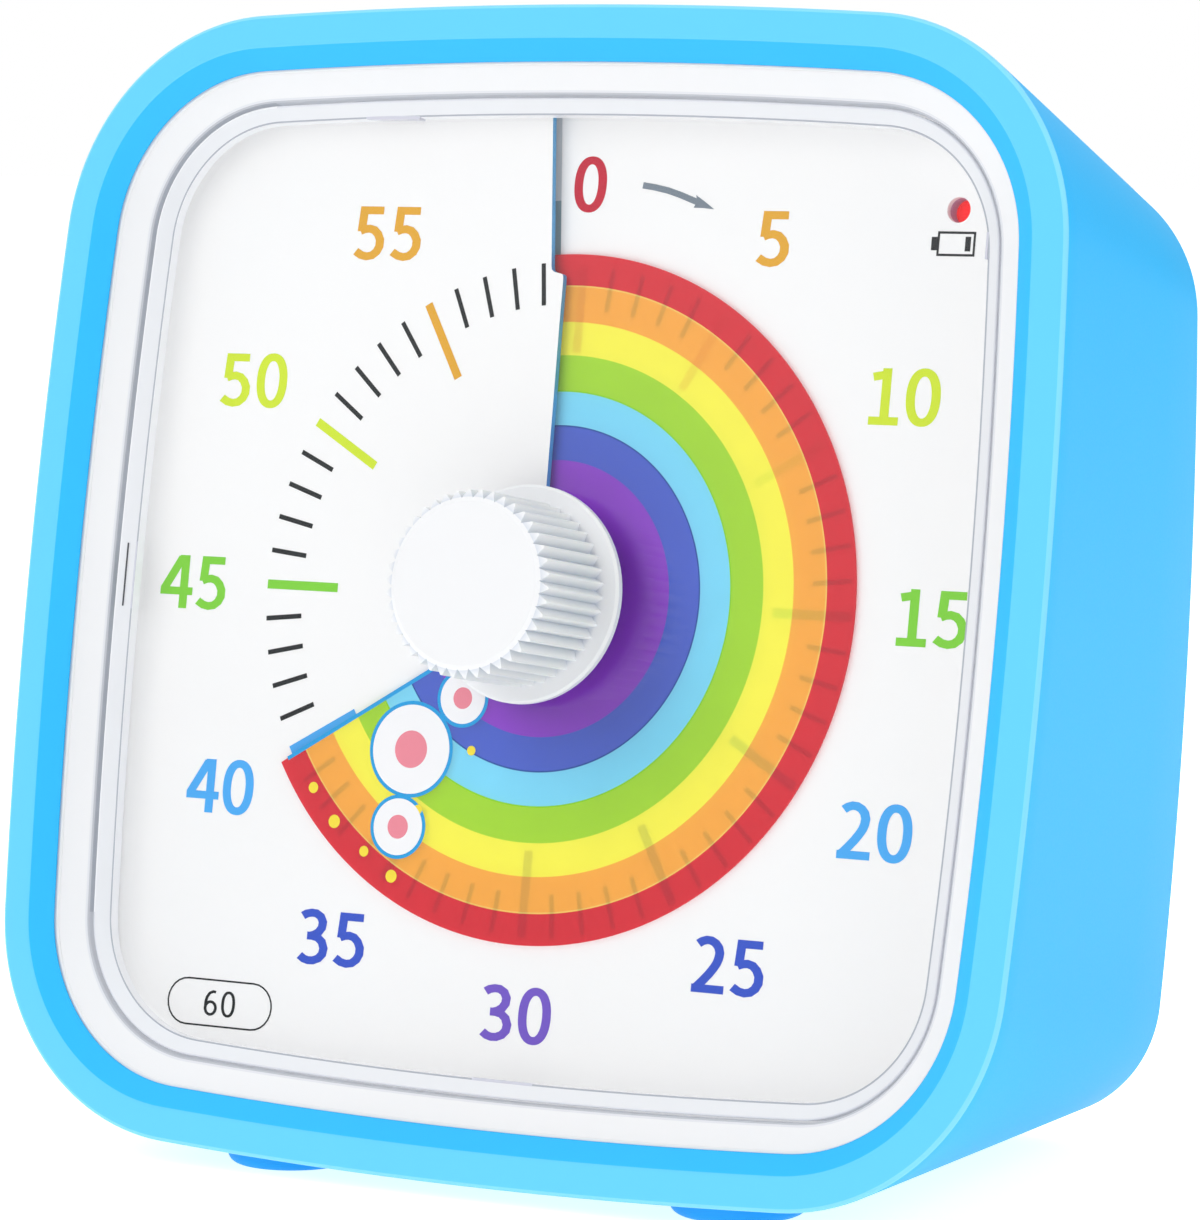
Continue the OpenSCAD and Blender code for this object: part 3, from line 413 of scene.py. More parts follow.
# ---------------------------------------------------------------- mesh helpers
def make(name, points, faces, material, body="case", sharp=35, world=False):
    """A piece from points in the case's frame, or in the world's, riding on a body."""
    mesh = bpy.data.meshes.new(name)
    mesh.from_pydata([p if world else stood(p) for p in points], [], faces)
    mesh.validate()
    for polygon in mesh.polygons:
        polygon.use_smooth = True
    tidy = bmesh.new()
    tidy.from_mesh(mesh)
    bmesh.ops.recalc_face_normals(tidy, faces=tidy.faces)
    tidy.to_mesh(mesh)
    tidy.free()
    mesh.set_sharp_from_angle(angle=math.radians(sharp))
    mesh.materials.append(material)
    piece = bpy.data.objects.new(name, mesh)
    bpy.context.scene.collection.objects.link(piece)
    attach(piece, body)
    return piece


def skin(rings):
    """Joins rings of equal length into a closed tube, the last one to the first."""
    count = len(rings[0])
    faces = []
    for j in range(len(rings)):
        a, b = j * count, ((j + 1) % len(rings)) * count
        for i in range(count):
            m = (i + 1) % count
            faces.append((a + i, a + m, b + m, b + i))
    return [p for r in rings for p in r], faces


def rounded(corners, steps):
    """A polyline of (inset, z, radius) with each corner rounded by its radius."""
    result = []
    for i, (x, z, r) in enumerate(corners):
        if not r:
            result.append((x, z))
            continue
        here = Vector((x, z))
        before = (Vector(corners[i - 1][:2]) - here).normalized()
        after = (Vector(corners[(i + 1) % len(corners)][:2]) - here).normalized()
        bend = before.angle(after)
        back = r / math.tan(bend / 2)
        centre = here + (before + after).normalized() * (r / math.sin(bend / 2))
        start, end = here + before * back - centre, here + after * back - centre
        turn = start.angle_signed(end)
        for k in range(steps + 1):
            a = -turn * k / steps
            result.append((centre.x + start.x * math.cos(a) - start.y * math.sin(a),
                           centre.y + start.x * math.sin(a) + start.y * math.cos(a)))
    return result


def spiral_sheet(rows, thickness):
    """A sheet under rows of points, each row one step further round.

    The last faces are the edge that the last row makes.
    """
    columns = len(rows[0])
    top = [p for row in rows for p in row]
    count = len(top)
    points = top + [(x, y, z - thickness) for x, y, z in top]
    faces = []
    for i in range(len(rows) - 1):
        for j in range(columns - 1):
            a, b = i * columns + j, (i + 1) * columns + j
            faces.append((a, a + 1, b + 1, b))
            faces.append((a + count, b + count, b + count + 1, a + count + 1))
        for j in (0, columns - 1):
            a, b = i * columns + j, (i + 1) * columns + j
            faces.append((a, b, b + count, a + count))
    for i in (0, len(rows) - 1):
        for j in range(columns - 1):
            a = i * columns + j
            faces.append((a, a + 1, a + 1 + count, a + count))
    return points, faces


# ---------------------------------------------------------------- levels of the card and disc
SLIT = math.radians(-4.5)
CARD = 0.5
DISC_GAP = 0.2
DISC = 0.15
PITCH = 2 * DISC_GAP + DISC + CARD


def ramp(turn):
    """Level of the card's face at a turn onward from the slit."""
    return PITCH * (turn / WHOLE - 0.5)


def surface_z(angle):
    """Level of the card's face at an angle clockwise from the top."""
    return ramp((angle - SLIT) % WHOLE)


# ---------------------------------------------------------------- sleeve
SLEEVE_WALL = 1.83
SLEEVE_SEAT = 4.8
OPENING_INSET = 4.0
LIP_INSET = 2.6
BACK_WRAP = 6
WRAP_INNER_Z = BACK_Z + 1.8
SIDE_FROM, SIDE_SPAN, SIDE_ROWS = 3, 23, 8
SLEEVE_STEPS = 6
front = rounded([(SLEEVE_WALL, SLEEVE_SEAT, 0), (OPENING_INSET, SLEEVE_SEAT, 0.12),
                 (OPENING_INSET, SLEEVE_SEAT + 0.1, 0.1), (LIP_INSET, LIP_Z, 0.3),
                 (0, EDGE_Z, 0.4), (0, SIDE_FROM, 0)], SLEEVE_STEPS)
back = rounded([(0, -24, 0), (0, BACK_Z, 1.2), (BACK_WRAP, BACK_Z, 0.5),
                (BACK_WRAP, WRAP_INNER_Z, 0), (SLEEVE_WALL, WRAP_INNER_Z, 0)], SLEEVE_STEPS)
side = [(0, SIDE_FROM - SIDE_SPAN * k / SIDE_ROWS) for k in range(1, SIDE_ROWS)]
rings = [ring(t, z) for t, z in front + side] + [ring(t, z, SLOPE) for t, z in back]
sleeve = make("soft_sleeve", *skin(rings), MATERIALS["sleeve"], sharp=60)
# rows of faces from the seat outward: the chamfer, the lip, then its rounded outer edge, given
# paler copies of the silicone as painted sheen, the edge as a painted highlight
for first, last, use in ((16, 22, "lip"), (22, 27, "edge"), (8, 16, "chamfer")):
    sleeve.data.materials.append(MATERIALS[use])
    for polygon in sleeve.data.polygons:
        if first <= polygon.index // len(rings[0]) < last:
            polygon.material_index = len(sleeve.data.materials) - 1
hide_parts("protective_sleeve")


def revolved(name, profile, centre, material, steps=96, world=False):
    """Revolves (radius, height) about the dial's normal, or about the world's upright."""
    points, faces = [], []
    for r, h in profile:
        for i in range(steps):
            a = WHOLE * i / steps
            points.append((centre[0] + r * math.cos(a), centre[1] + r * math.sin(a),
                           centre[2] + h))
    for j in range(len(profile) - 1):
        for i in range(steps):
            m = (i + 1) % steps
            faces.append((j * steps + i, j * steps + m, (j + 1) * steps + m,
                          (j + 1) * steps + i))
    faces.append(tuple(range(steps - 1, -1, -1)))
    faces.append(tuple(range(len(points) - steps, len(points))))
    if world:
        points = [Vector(p) / 1000 for p in points]
    return make(name, points, faces, material, world=world)


FOOT_FLAT, FOOT_RADIUS, FOOT_TOP, FOOT_ROUND = 4.1, 5, 2.2, 0.8
FOOT_X, FOOT_SETBACK, FOOT_SPACING = 19, 8, 24
NEARLY_ZERO = 0.01
front_foot_y = (-HALF * math.sin(DRAFT) - LIP_Z * math.cos(DRAFT)) - MIDDLE_Y + FOOT_SETBACK
foot_profile = [(NEARLY_ZERO, 0), (FOOT_FLAT, 0)]
foot_profile += [(FOOT_RADIUS - FOOT_ROUND + FOOT_ROUND * math.sin(a),
                  FOOT_ROUND - FOOT_ROUND * math.cos(a))
                 for a in [math.radians(d) for d in range(10, 91, 10)]]
foot_profile += [(FOOT_RADIUS, FOOT_TOP), (NEARLY_ZERO, FOOT_TOP)]
for k, (x, y) in enumerate([(-FOOT_X, 0), (FOOT_X, 0), (-FOOT_X, FOOT_SPACING),
                            (FOOT_X, FOOT_SPACING)]):
    foot = revolved(f"foot_{k + 1}", foot_profile, (x, front_foot_y + y, 0),
                    MATERIALS["foot"], world=True)
    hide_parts("protective_sleeve")

# ---------------------------------------------------------------- bezel
SHELL_OUT, SHELL_BACK = 1.93, -12
BEZEL_Z, BEZEL_INSET = 4.7, 4.2
LEDGE_Z, LEDGE_INSET, LEDGE_INNER, LEDGE_UNDER = 1.105, 6.95, 6.8, -4.1
SHELL_IN = 3.73
bezel_out = rounded([(SHELL_OUT, SHELL_BACK, 0), (SHELL_OUT, BEZEL_Z, 0.6),
                     (BEZEL_INSET, BEZEL_Z, 0.15)], 4)
bezel_in = [(6.02, 3.46), (6.18, 3.41), (6.3, 3.3), (6.35, 3.15), (6.36, 2.4),
            (6.36, LEDGE_Z), (LEDGE_INSET, LEDGE_Z)]
rings = [ring(t, z) for t, z in bezel_out]
rings += [straight_ring(t, z) for t, z in bezel_in]
# the ledge's inner edge follows the card, just over its face
rings += [[(x, y, surface_z(math.atan2(x, y)) + 0.01) for x, y in outline(t)]
          for t in (LEDGE_INSET, LEDGE_INNER)]
rings += [straight_ring(LEDGE_INNER, LEDGE_UNDER), ring(SHELL_IN, LEDGE_UNDER),
          ring(SHELL_IN, SHELL_BACK)]
bezel = make("bezel", *skin(rings), MATERIALS["shell"], sharp=28)
for name in ("seam_shade_1", "seam_shade_2", "seam_shade_3"):
    bezel.data.materials.append(MATERIALS[name])
SEAM_SHADE = [1, 2, 3, 3, 3]  # painted shade of each row from the bezel down into the gap, darkest on the left
for polygon in bezel.data.polygons:
    row, column = divmod(polygon.index, len(rings[0]))
    row -= len(bezel_out)
    on_left = column >= len(rings[0]) * 3 // 4
    if 0 <= row < len(SEAM_SHADE):
        polygon.material_index = SEAM_SHADE[row] if on_left else min(SEAM_SHADE[row], 2)

# each tab of the window: the way it faces, its place along that side and its length
TABS = [(180, 0.1, 4.8), (90, 15.6, 4.4), (0, 26.2, 1.6), (270, 1.2, 4.8)]


def tab_block(name, tab, near, far, low, high, material, grow=0):
    """A block on the window's ledge, between two insets and two levels."""
    facing, along, length = tab
    a = math.radians(facing)
    sag = SIDE_RADIUS - math.sqrt(SIDE_RADIUS ** 2 - along ** 2)
    corners = [(HALF - inset - sag, y) for inset in (near, far)
               for y in (along - length / 2 - grow, along + length / 2 + grow)]
    points = [(x * math.cos(a) - y * math.sin(a), x * math.sin(a) + y * math.cos(a), z)
              for z in (low, high) for x, y in corners]
    faces = [(0, 1, 3, 2), (4, 6, 7, 5), (0, 4, 5, 1), (1, 5, 7, 3), (3, 7, 6, 2), (2, 6, 4, 0)]
    return make(name, points, faces, material)


def carve(piece, cutters):
    """Takes the cutters out of a piece and leaves plain meshes behind."""
    for cutter in cutters:
        change = piece.modifiers.new("carve", "BOOLEAN")
        change.operation = "DIFFERENCE"
        change.object = cutter
        change.solver = "EXACT"
    depsgraph = bpy.context.evaluated_depsgraph_get()
    carved = bpy.data.meshes.new_from_object(piece.evaluated_get(depsgraph))
    piece.modifiers.clear()
    piece.data = carved
    for cutter in cutters:
        bpy.data.objects.remove(cutter)


carve(bezel, [tab_block("notch", tab, 8.3, 6.5, 0.735, 1.5, MATERIALS["shell"], grow=0.15)
              for tab in TABS])
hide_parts("front_shell")

# ---------------------------------------------------------------- window
HOLE = 4.1
PLATE_BACK, PLATE_FACE, PLATE_INSET = 1.125, 1.925, 6.5
RIM_SHIFT, SHIFTED_FROM = 0.15, 7
window_sides = rounded([(PLATE_INSET, PLATE_BACK, 0), (PLATE_INSET, 3.2, 0.12),
                        (7.62, 2.72, 0.05), (7.74, 2.72, 0), (7.8, PLATE_FACE, 0),
                        (9.5, PLATE_FACE, 0)], 4)
# the rim is a little wider on the left than on the right
rings = [[(x + RIM_SHIFT * (t > SHIFTED_FROM), y, z) for x, y, z in straight_ring(t, z)]
         for t, z in window_sides]
count = len(rings[0])
hole_angles = [math.atan2(x, y) for x, y, _ in rings[0]]
rings += [[(HOLE * math.sin(a), HOLE * math.cos(a), z) for a in hole_angles]
          for z in (PLATE_FACE, PLATE_BACK)]
window = make("window_plate", *skin(rings), MATERIALS["lens"], sharp=20)
for name in ("rim", "rim_painted_highlight", "line", "rim_painted_shade"):
    window.data.materials.append(MATERIALS[name])
WINDOW_ROWS = [1] + [2] * 4 + [1] + [3] * 5 + [2]  # material of each row from the back round: satin rim, painted highlight on the outer edge, rim, painted shade line on the crest, painted highlight down the inner wall
for polygon in window.data.polygons:
    row, column = divmod(polygon.index, count)
    use = WINDOW_ROWS[row] if row < len(WINDOW_ROWS) else 0
    # the outer edge keeps its painted highlight only on the left, and takes painted shade on
    # the other sides
    polygon.material_index = 4 if 0 < row < 5 and column < count * 3 // 4 else use
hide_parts("clear_window")
PADS = [(7.88, 7.72), (7.86, 7.6), (7.8, 7.62), (7.8, 7.6)]
for k, (tab, pad) in enumerate(zip(TABS, PADS)):
    longer = (tab[0], tab[1], tab[2] + 0.3)
    marks = [tab_block(f"window_tab_{k + 1}", tab, 7.2, 6.55, 0.785, 1.12, MATERIALS["lens"]),
             tab_block(f"window_pad_{k + 1}", longer, *pad, 1.9, 2.735, MATERIALS["pad"])]
    if k == 0:
        # a dark block inside the rim stands in for the slot's shade: painted shade
        marks.append(tab_block("window_slot_shade", tab, 7.235, 7.145, 2.8, 3.0,
                               MATERIALS["slider"]))
    for piece in marks:
        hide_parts("clear_window")

# ---------------------------------------------------------------- dial card
CARD_INSET = 6.88


def polar(r, angle):
    """Dial point at a radius and an angle clockwise from the top."""
    return (r * math.sin(angle), r * math.cos(angle))


def on_card(x, y, lift=0.015):
    return (x, y, surface_z(math.atan2(x, y)) + lift)


# the lip over the slit, as (radius, x): it leans outside the notch, and runs straight inside it
LIP = [(6.2, -0.65), (8.3, -0.66), (14, -0.7), (20, -0.77), (23.3, -0.78), (23.62, -0.8),
       (23.78, -0.85), (23.86, -0.98), (23.92, -1.2), (23.98, -1.45), (24.06, -1.66),
       (24.2, -1.82), (24.5, -1.89), (28, -2.2), (32, -2.56), (36.2, -2.93)]


def lip_angle(r):
    for (r0, x0), (r1, x1) in zip(LIP, LIP[1:]):
        if r <= r1:
            k = max(0.0, (r - r0) / (r1 - r0))
            return math.asin((x0 + (x1 - x0) * k) / r)
    return math.asin(LIP[-1][1] / r)


CARD_RADII = [6.2, 8.3, 11, 14, 17, 20, 22, 23.3, 23.62, 23.78, 23.86, 23.92, 23.98, 24.06,
              24.2, 24.5, 25.4, 28, 31, 33.5]
TURNS = 240
SLIT_GAP, OPEN_FROM = 0.17, 24.6
FADE = 0.25  # turn over which the slit's shape fades into plain rays
rows = []
for i in range(TURNS + 1):
    turn = WHOLE * i / TURNS
    near_start = max(0.0, 1 - turn / FADE)
    near_end = max(0.0, 1 - (WHOLE - turn) / FADE)
    row = []
    for r in CARD_RADII + [reach(SLIT + turn, CARD_INSET)]:
        lip = lip_angle(r)
        start = lip + SLIT_GAP / r if r > OPEN_FROM else min(lip, SLIT) - 0.02
        a = SLIT + turn + (start - SLIT) * near_start + (lip - SLIT) * near_end
        row.append((*polar(r, a), ramp(turn)))
    rows.append(row)
points, faces = spiral_sheet(rows, CARD)
card = make("dial_sheet", points, faces, MATERIALS["card"], sharp=40)
card.data.materials.append(MATERIALS["cut_edge"])
# the sheet's last faces, the cut edge over the slit, take the blue painted reflection
for polygon in card.data.polygons:
    polygon.material_index = int(polygon.index > len(faces) - len(rows[0]))
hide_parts("dial_card")

LAMP = (30.7, 29.1)
LAMP_HOLE = 0.92
LAMP_STEPS = 48
carve(card, [revolved("drill", [(LAMP_HOLE, -2), (LAMP_HOLE, 2)], (*LAMP, 0),
                      MATERIALS["card"], LAMP_STEPS)])
for polygon in card.data.polygons:
    polygon.use_smooth = False
WELL = [(LAMP_HOLE, -0.89), (1.3, -0.89), (1.3, -1.3), (1.02, -1.88), (LAMP_HOLE, -1.88)]
spokes = [WHOLE * i / LAMP_STEPS for i in range(LAMP_STEPS)]
rings = [[(LAMP[0] + r * math.cos(a), LAMP[1] + r * math.sin(a), z) for a in spokes]
         for r, z in WELL]
well = make("lamp_well", *skin(rings), MATERIALS["well"])

# a strip just under the slit, coloured as the painted shade seen in the gap, darker at its end
# by the disc
SHADE_STRIP_ACROSS, SHADE_STRIP_LEVELS = (-0.5, 0.36), (-0.6, -0.8)
SHADE_STRIP_FACES = [(0, 2, 6, 4), (4, 6, 10, 8), (1, 5, 7, 3), (5, 9, 11, 7), (0, 4, 5, 1),
               (4, 8, 9, 5), (2, 3, 7, 6), (6, 7, 11, 10), (0, 1, 3, 2), (8, 10, 11, 9)]
for name, start, end, use in (("slit_shade_strip", 29.5, 35.7, "slit_pale"),
                              ("slit_shade_strip_end", 24.3, 29.5, "slit_deep")):
    points = [(*polar(r, lip_angle(r) + across / r), z)
              for r in (start, (start + end) / 2, end)
              for across in SHADE_STRIP_ACROSS for z in SHADE_STRIP_LEVELS]
    shade_strip = make(name, points, SHADE_STRIP_FACES, MATERIALS[use])

# ---------------------------------------------------------------- time disc
MINUTES_SHOWN = 39.75
DISC_RADII = [5.06, 7.5, 10.06, 12.62, 15.18, 17.74, 20.3, 22.86, DISC_RADIUS]
STEPS = 300
CUT_TURN = 0.3  # degrees cut off at each end of the film
turn_at_rest = math.radians(6 * MINUTES_SHOWN) - SLIT


def film_level(turn):
    return ramp(turn) + DISC_GAP + DISC


rows, spots = [], []
for i in range(STEPS + 1):
    turn = turn_at_rest - WHOLE + math.radians(CUT_TURN + (360 - 2 * CUT_TURN) * i / STEPS)
    rows.append([(*polar(r, SLIT + turn), film_level(turn)) for r in DISC_RADII])
    spots += [(r / POLAR_SIZE, i / STEPS) for r in DISC_RADII]
film = make("ring_film", *spiral_sheet(rows, DISC), MATERIALS["film"], "disc", sharp=30)
layer = film.data.uv_layers.new(name="polar")
for loop in film.data.loops:
    layer.data[loop.index].uv = spots[loop.vertex_index % len(spots)]
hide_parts("time_disc")


def on_film(x, y, lift=0.012):
    """Point on the film's face, given its place on the dial at rest."""
    return (x, y, film_level((math.atan2(x, y) - SLIT) % WHOLE) + lift)


# ---------------------------------------------------------------- printing
def merged(name, parts, material, body="case", slot="printed_card"):
    """One piece from several (points, faces) parts."""
    points, faces = [], []
    for p, f in parts:
        base = len(points)
        points += p
        faces += [tuple(i + base for i in face) for face in f]
    piece = make(name, points, faces, material, body)


def ribbon(line, width, closed=False, place=on_card, fat=1.0):
    """A flat stroke along a line of dial points, with its upright parts wider by fat."""
    line = [Vector((x / fat, y)) for x, y in line]
    count = len(line)
    points, faces = [], []
    for i, p in enumerate(line):
        before = line[i - 1] if i or closed else None
        after = line[(i + 1) % count] if i < count - 1 or closed else None
        d0 = (p - before).normalized() if before is not None else None
        d1 = (after - p).normalized() if after is not None else None
        d0, d1 = d0 or d1, d1 or d0
        middle_way = (d0 + d1).normalized()
        normal = Vector((-middle_way.y, middle_way.x))
        stretch = 1 / max(0.5, normal.dot(Vector((-d0.y, d0.x))))
        for edge in (p + normal * width * stretch / 2, p - normal * width * stretch / 2):
            points.append(place(edge.x * fat, edge.y))
    for i in range(count if closed else count - 1):
        m = (i + 1) % count
        faces.append((2 * i, 2 * i + 1, 2 * m + 1, 2 * m))
    return points, faces


def arc(cx, cy, rx, ry, start, end, steps=12, power=2.0):
    """Part of an ellipse, squarer for a power over 2."""
    line = []
    for i in range(steps + 1):
        a = math.radians(start + (end - start) * i / steps)
        c, s = math.cos(a), math.sin(a)
        line.append((cx + rx * math.copysign(abs(c) ** (2 / power), c),
                     cy + ry * math.copysign(abs(s) ** (2 / power), s)))
    return line


# each digit fills a cell whose middle level is zero, with strokes as (line, closed)
CELL, DIGIT_HEIGHT = 3.18, 4
DIGITS = {
    "0": [(arc(1.57, 0, 0.99, 1.75, 0, 360, 44, 2.25)[:-1], True)],
    "1": [([(1.81, 1.97), (1.81, -1.74)], False), ([(0.74, 1.35), (1.6, 1.5)], False),
          ([(0.6, -1.72), (2.93, -1.72)], False)],
    "2": [([(0.67, 1.43), (0.97, 1.62), (1.32, 1.73), (1.68, 1.71), (2.04, 1.54), (2.3, 1.26),
            (2.42, 0.88), (2.37, 0.5), (2.24, 0.15), (2.02, -0.2), (1.68, -0.64),
            (1.24, -1.12), (0.86, -1.5), (0.66, -1.68)], False),
          ([(0.36, -1.68), (2.95, -1.68)], False)],
    "3": [([(0.56, 1.46), (0.88, 1.64), (1.3, 1.73), (1.7, 1.71), (2.1, 1.5), (2.32, 1.12),
            (2.27, 0.7), (2.02, 0.36), (1.66, 0.15), (1.4, 0.08)], False),
          ([(1.05, 0.05), (1.75, 0.05)], False),
          ([(1.5, 0.05), (1.98, -0.04), (2.36, -0.32), (2.56, -0.78), (2.48, -1.22),
            (2.18, -1.54), (1.72, -1.72), (1.3, -1.74), (0.92, -1.65), (0.54, -1.42)], False)],
    "4": [([(2.29, 1.95), (2.29, -2.0)], False), ([(1.99, 1.78), (0.52, -0.62)], False),
          ([(1.76, 1.66), (2.29, 1.66)], False), ([(0.22, -0.72), (3.08, -0.72)], False)],
    "5": [([(2.62, 1.66), (0.93, 1.66), (0.82, 0.1)], False),
          ([(0.72, 0.12), (1.1, 0.26), (1.5, 0.31), (1.92, 0.21), (2.26, -0.08), (2.48, -0.5),
            (2.47, -0.98), (2.26, -1.38), (1.88, -1.66), (1.42, -1.74), (0.94, -1.65),
            (0.44, -1.38)], False)],
    "6": [(arc(1.6, -0.78, 0.93, 0.95, 0, 360, 32)[:-1], True),
          ([(0.68, -0.7), (0.7, 0.1), (0.88, 0.85), (1.3, 1.45), (1.9, 1.72), (2.4, 1.66)],
           False)],
}
STROKE = 0.575
FAT = 1.24


def number(text, x, y, height=4.09, weight=1.0):
    """Strokes of a number centred on a dial point."""
    size = height / DIGIT_HEIGHT
    parts = []
    for k, digit in enumerate(text):
        left = x + (k - len(text) / 2) * CELL * size
        for line, closed in DIGITS[digit]:
            placed = [(left + u * size, y + v * size) for u, v in line]
            parts.append(ribbon(placed, STROKE * size * weight, closed, fat=FAT))
    return parts


NUMBERS = [(0, 0.25, 30.62, "red"), (5, 16.01, 26.84, "orange"),
           (10, 27.56, 15.68, "lime"), (15, 31.31, 0.08, "green"),
           (20, 28.32, -15.21, "blue"), (25, 17.59, -25.55, "indigo"),
           (30, 0.39, -30.43, "violet"), (35, -15.99, -26.15, "indigo"),
           (40, -27.07, -15.53, "blue"), (45, -31.1, -0.24, "green"),
           (50, -27.25, 15.26, "lime"), (55, -16.35, 26.63, "orange")]
TICK_OUT, TICK_MINOR, TICK_MAJOR = 24.62, 21.5, 18.34
TICK_WIDTH, TICK_WIDE = 0.36, 0.68
TICK_SHIFT = (0.28, -0.25)  # how far the printed ring stands off, except near 60
TICK_RISE = 0.1


def tick(minute, inner, width):
    a = math.radians(6 * minute)
    s, c = math.sin(a), math.cos(a)
    k = min(1, (60 - minute) / 20)
    line = [(r * s + TICK_SHIFT[0] * k, r * c + TICK_RISE + TICK_SHIFT[1] * k)
            for r in (inner, (inner + TICK_OUT) / 2, TICK_OUT)]
    return ribbon(line, width)


by_ink = {}
for value, x, y, colour in NUMBERS:
    by_ink.setdefault(colour, []).extend(number(str(value), x, y))
    by_ink[colour].append(tick(value, TICK_MAJOR, TICK_WIDE))
for colour, parts in by_ink.items():
    merged("scale_" + colour, parts, INKS[colour])
merged("scale_ticks", [tick(m, TICK_MINOR, TICK_WIDTH) for m in range(60) if m % 5],
       INKS["dark"])

# arrow, battery sign and the 60 minute mark
shaft = [(4.69, 30.6), (5.72, 30.46), (6.84, 30.24), (7.9, 29.93), (9.36, 29.42)]
head = [(9.24, 29.93), (10.1, 29.4), (10.85, 28.9), (9.95, 28.98), (9.1, 29.0),
        (9.36, 29.42)]
arrow = [ribbon(shaft, 0.47), ([on_card(*p) for p in head], [tuple(range(len(head)))])]
SIGN_X, SIGN_Y, SIGN_WIDTH, SIGN_HEIGHT = 30.72, 26.67, 2.85, 1.6
left, right = SIGN_X - SIGN_WIDTH / 2, SIGN_X + SIGN_WIDTH / 2
low, high = SIGN_Y - SIGN_HEIGHT / 2, SIGN_Y + SIGN_HEIGHT / 2
sign = [ribbon([(left, low), (right, low), (right, high), (left, high)], 0.17, True)]
for x, half, width in ((left - 0.3, 0.48, 0.5), (right - 0.5, 0.52, 0.44)):
    sign.append(ribbon([(x, SIGN_Y - half), (x, SIGN_Y + half)], width))
merged("arrow_mark", arrow, INKS["grey"])
merged("battery_mark", sign, INKS["dark"])
PILL_X, PILL_Y, PILL_WIDTH, PILL_HEIGHT = -25.42, -31.8, 9.3, 3.45
off, radius = (PILL_WIDTH - PILL_HEIGHT) / 2, PILL_HEIGHT / 2
pill = arc(PILL_X + off, PILL_Y, radius, radius, 90, -90)
pill += arc(PILL_X - off, PILL_Y, radius, radius, 270, 90)
merged("hour_mark", [ribbon(pill, 0.13, True)] + number("60", PILL_X, PILL_Y, 2.0, 0.7),
       INKS["dark"])


# plain shapes printed near the film's leading edge
def film_xy(r, back):
    """Dial point on the film: radius, and distance back from its leading edge."""
    return polar(r, SLIT + turn_at_rest - back / r)


def blob(r, back, radius, lift, steps=72):
    """A filled round on the film."""
    cx, cy = film_xy(r, back)
    angles = [WHOLE * i / steps for i in range(steps)]
    edge = [on_film(cx + radius * math.cos(a), cy + radius * math.sin(a), lift) for a in angles]
    return edge, [tuple(range(steps))]


WHITE_DOTS = [(15.6, 4.7, 3.3), (9.9, 3.4, 1.9), (20.6, 9.6, 2.1)]
SPECKS = [(23.9, 3.2, 0.42), (24.0, 6.4, 0.5), (23.8, 9.8, 0.4), (23.9, 12.9, 0.48),
          (18.6, 9.3, 0.36), (12.6, 7.6, 0.36)]
ON_FILM = ("disc", "rainbow_film")
merged("film_rims", [blob(r, back, size + 0.28, 0.012) for r, back, size in WHITE_DOTS],
       INKS["cyan"], *ON_FILM)
merged("film_rounds", [blob(r, back, size, 0.02) for r, back, size in WHITE_DOTS],
       INKS["white"], *ON_FILM)
merged("film_middles", [blob(r, back, size * 0.42, 0.028) for r, back, size in WHITE_DOTS],
       INKS["pink"], *ON_FILM)
merged("film_specks", [blob(r, back, size, 0.014, 24) for r, back, size in SPECKS],
       INKS["yellow"], *ON_FILM)
border = [film_xy(7.5 + 0.75 * k, 0.17) for k in range(24)]
merged("film_border", [ribbon(border, 0.3, place=on_film)], INKS["cyan"], *ON_FILM)

# ---------------------------------------------------------------- carried-over nodes
USES = {
    "knob": "knob", "disc_hub": "inner", "drive_shaft": "steel", "shaft_clip": "steel",
    "clutch_spring": "steel", "carrier_plate": "inner", "centre_wheel": "gear",
    "intermediate_gear": "gear", "intermediate_arbor": "steel", "motor_pinion": "gear",
    "gear_motor": "can", "gear_plate": "inner", "circuit_board": "board",
    "low_battery_lamp": "lamp", "piezo_buzzer": "black", "battery_cell": "cell",
    "negative_spring": "steel", "positive_contact": "steel", "rear_shell": "shell",
    "battery_door": "shell", "volume_slider": "slider", "duration_slider": "slider",
    "slide_switches": "can", "case_screws": "steel", "plate_screws": "steel"}
for node, use in USES.items():
    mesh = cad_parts[node].data
    mesh.materials.clear()
    mesh.materials.append(MATERIALS[use])


# ---------------------------------------------------------------- stage, lights and camera
def seen_or(tree, unseen, seen):
    """A strength for what the camera, gloss and glass see, and another for plain light."""
    path = tree.nodes.new("ShaderNodeLightPath")
    total = path.outputs["Is Camera Ray"]
    for name in ("Is Glossy Ray", "Is Transmission Ray"):
        most = tree.nodes.new("ShaderNodeMath")
        most.operation = "MAXIMUM"
        tree.links.new(total, most.inputs[0])
        tree.links.new(path.outputs[name], most.inputs[1])
        total = most.outputs[0]
    span = tree.nodes.new("ShaderNodeMapRange")
    tree.links.new(total, span.inputs["Value"])
    for socket, strength in (("To Min", unseen), ("To Max", seen)):
        if isinstance(strength, bpy.types.NodeSocket):
            tree.links.new(strength, span.inputs[socket])
        else:
            span.inputs[socket].default_value = strength
    return span.outputs["Result"], path


FLOOR_REACH = 3  # metres each way
FLOOR_GLOW = (0.34, 0.76)  # as light, and as seen


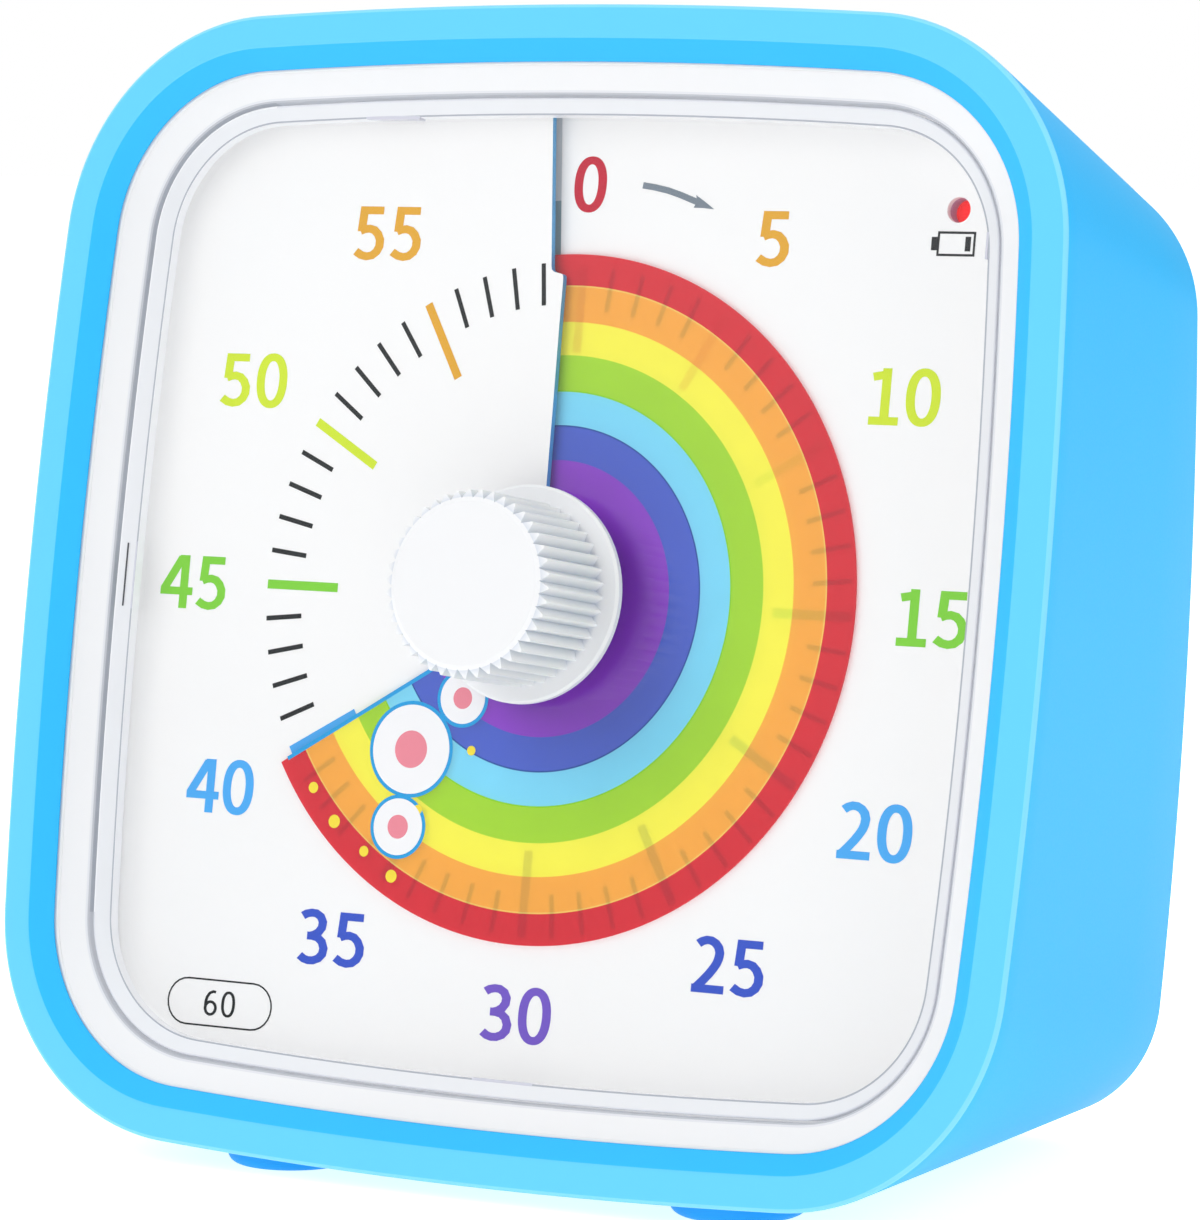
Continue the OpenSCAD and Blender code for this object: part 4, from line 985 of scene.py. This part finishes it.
def stage_floor():
    """A pale floor that seems to have no end, and keeps the object's shadow."""
    n = Nodes("pale_floor")
    tone = n.span(n.noise(8.0), 0.93, 0.95)
    glow = n.add("ShaderNodeEmission", Color=(1, 1, 1, 1),
                 Strength=seen_or(n.tree, *FLOOR_GLOW)[0])
    n.show(n.pair("ShaderNodeAddShader", n.add("ShaderNodeBsdfDiffuse", Color=tone), glow))
    mesh = bpy.data.meshes.new("floor")
    mesh.from_pydata([(FLOOR_REACH * x, FLOOR_REACH * y, 0)
                      for x, y in ((-1, -1), (1, -1), (1, 1), (-1, 1))], [], [(0, 1, 2, 3)])
    mesh.materials.append(n.material)
    floor = bpy.data.objects.new("floor", mesh)
    bpy.context.scene.collection.objects.link(floor)


stage_floor()

SKY_LIGHT = 0.445
SKY_RISE = (("From Min", 0.08), ("From Max", 0.4), ("To Min", 0.3), ("To Max", 1.35))


def studio_gradient(tree):
    """A studio that is dimmer near the floor and bright overhead, as gloss and glass see it."""
    place = tree.nodes.new("ShaderNodeTexCoord")
    split = tree.nodes.new("ShaderNodeSeparateXYZ")
    tree.links.new(place.outputs["Generated"], split.inputs[0])
    rise = tree.nodes.new("ShaderNodeMapRange")
    tree.links.new(split.outputs["Z"], rise.inputs["Value"])
    for socket, value in SKY_RISE:
        rise.inputs[socket].default_value = value
    return rise.outputs["Result"]


world = bpy.data.worlds.new("studio")
bpy.context.scene.world = world
world.use_nodes = True
sky_tree = world.node_tree
sky = sky_tree.nodes["Background"]
sky.inputs["Color"].default_value = (1, 1, 1, 1)
bright, path = seen_or(sky_tree, SKY_LIGHT, studio_gradient(sky_tree))
to_camera = sky_tree.nodes.new("ShaderNodeMapRange")
sky_tree.links.new(path.outputs["Is Camera Ray"], to_camera.inputs["Value"])
sky_tree.links.new(bright, to_camera.inputs["To Min"])
to_camera.inputs["To Max"].default_value = 1.0
sky_tree.links.new(to_camera.outputs["Result"], sky.inputs["Strength"])


def softbox(name, place, size, power):
    """An area light aimed at the dial, unseen in reflections and through the window."""
    lamp = bpy.data.lights.new(name, "AREA")
    lamp.shape = "RECTANGLE"
    lamp.size, lamp.size_y = size
    lamp.energy = power
    holder = bpy.data.objects.new(name, lamp)
    holder.location = place
    holder.rotation_euler = (DIAL - Vector(place)).to_track_quat("-Z", "Y").to_euler()
    holder.visible_glossy = False
    holder.visible_transmission = False
    bpy.context.scene.collection.objects.link(holder)


softbox("key", (-1.125, -1.858, 1.56), (1.75, 1.75), 26.5)
softbox("right", (0.92, -0.1, 0.5), (0.6, 0.8), 2.85)
softbox("top", (-0.1, 0.1, 0.95), (0.8, 0.8), 1.65)

# the photo's camera, from the fit of the dial's rings and the case's outlines
RIGHT = Vector((0.861183, 0.508295, -0.000716))
DOWN = Vector((0.048289, -0.083216, -0.995361))
FORWARD = Vector((-0.505996, 0.857153, -0.096209))
FROM_DIAL = Vector((0.2117007, -0.3513925, 0.0388212))
camera_data = bpy.data.cameras.new("camera")
camera_data.sensor_fit = "HORIZONTAL"
camera_data.sensor_width = 36
camera_data.lens = 169.04
camera_data.clip_start = 0.01
camera = bpy.data.objects.new("camera", camera_data)
axes = Matrix((RIGHT, -DOWN, -FORWARD)).transposed().to_4x4()
camera.matrix_world = Matrix.Translation(DIAL + FROM_DIAL) @ axes
bpy.context.scene.collection.objects.link(camera)
bpy.context.scene.camera = camera
bpy.context.scene.view_settings.view_transform = "Standard"
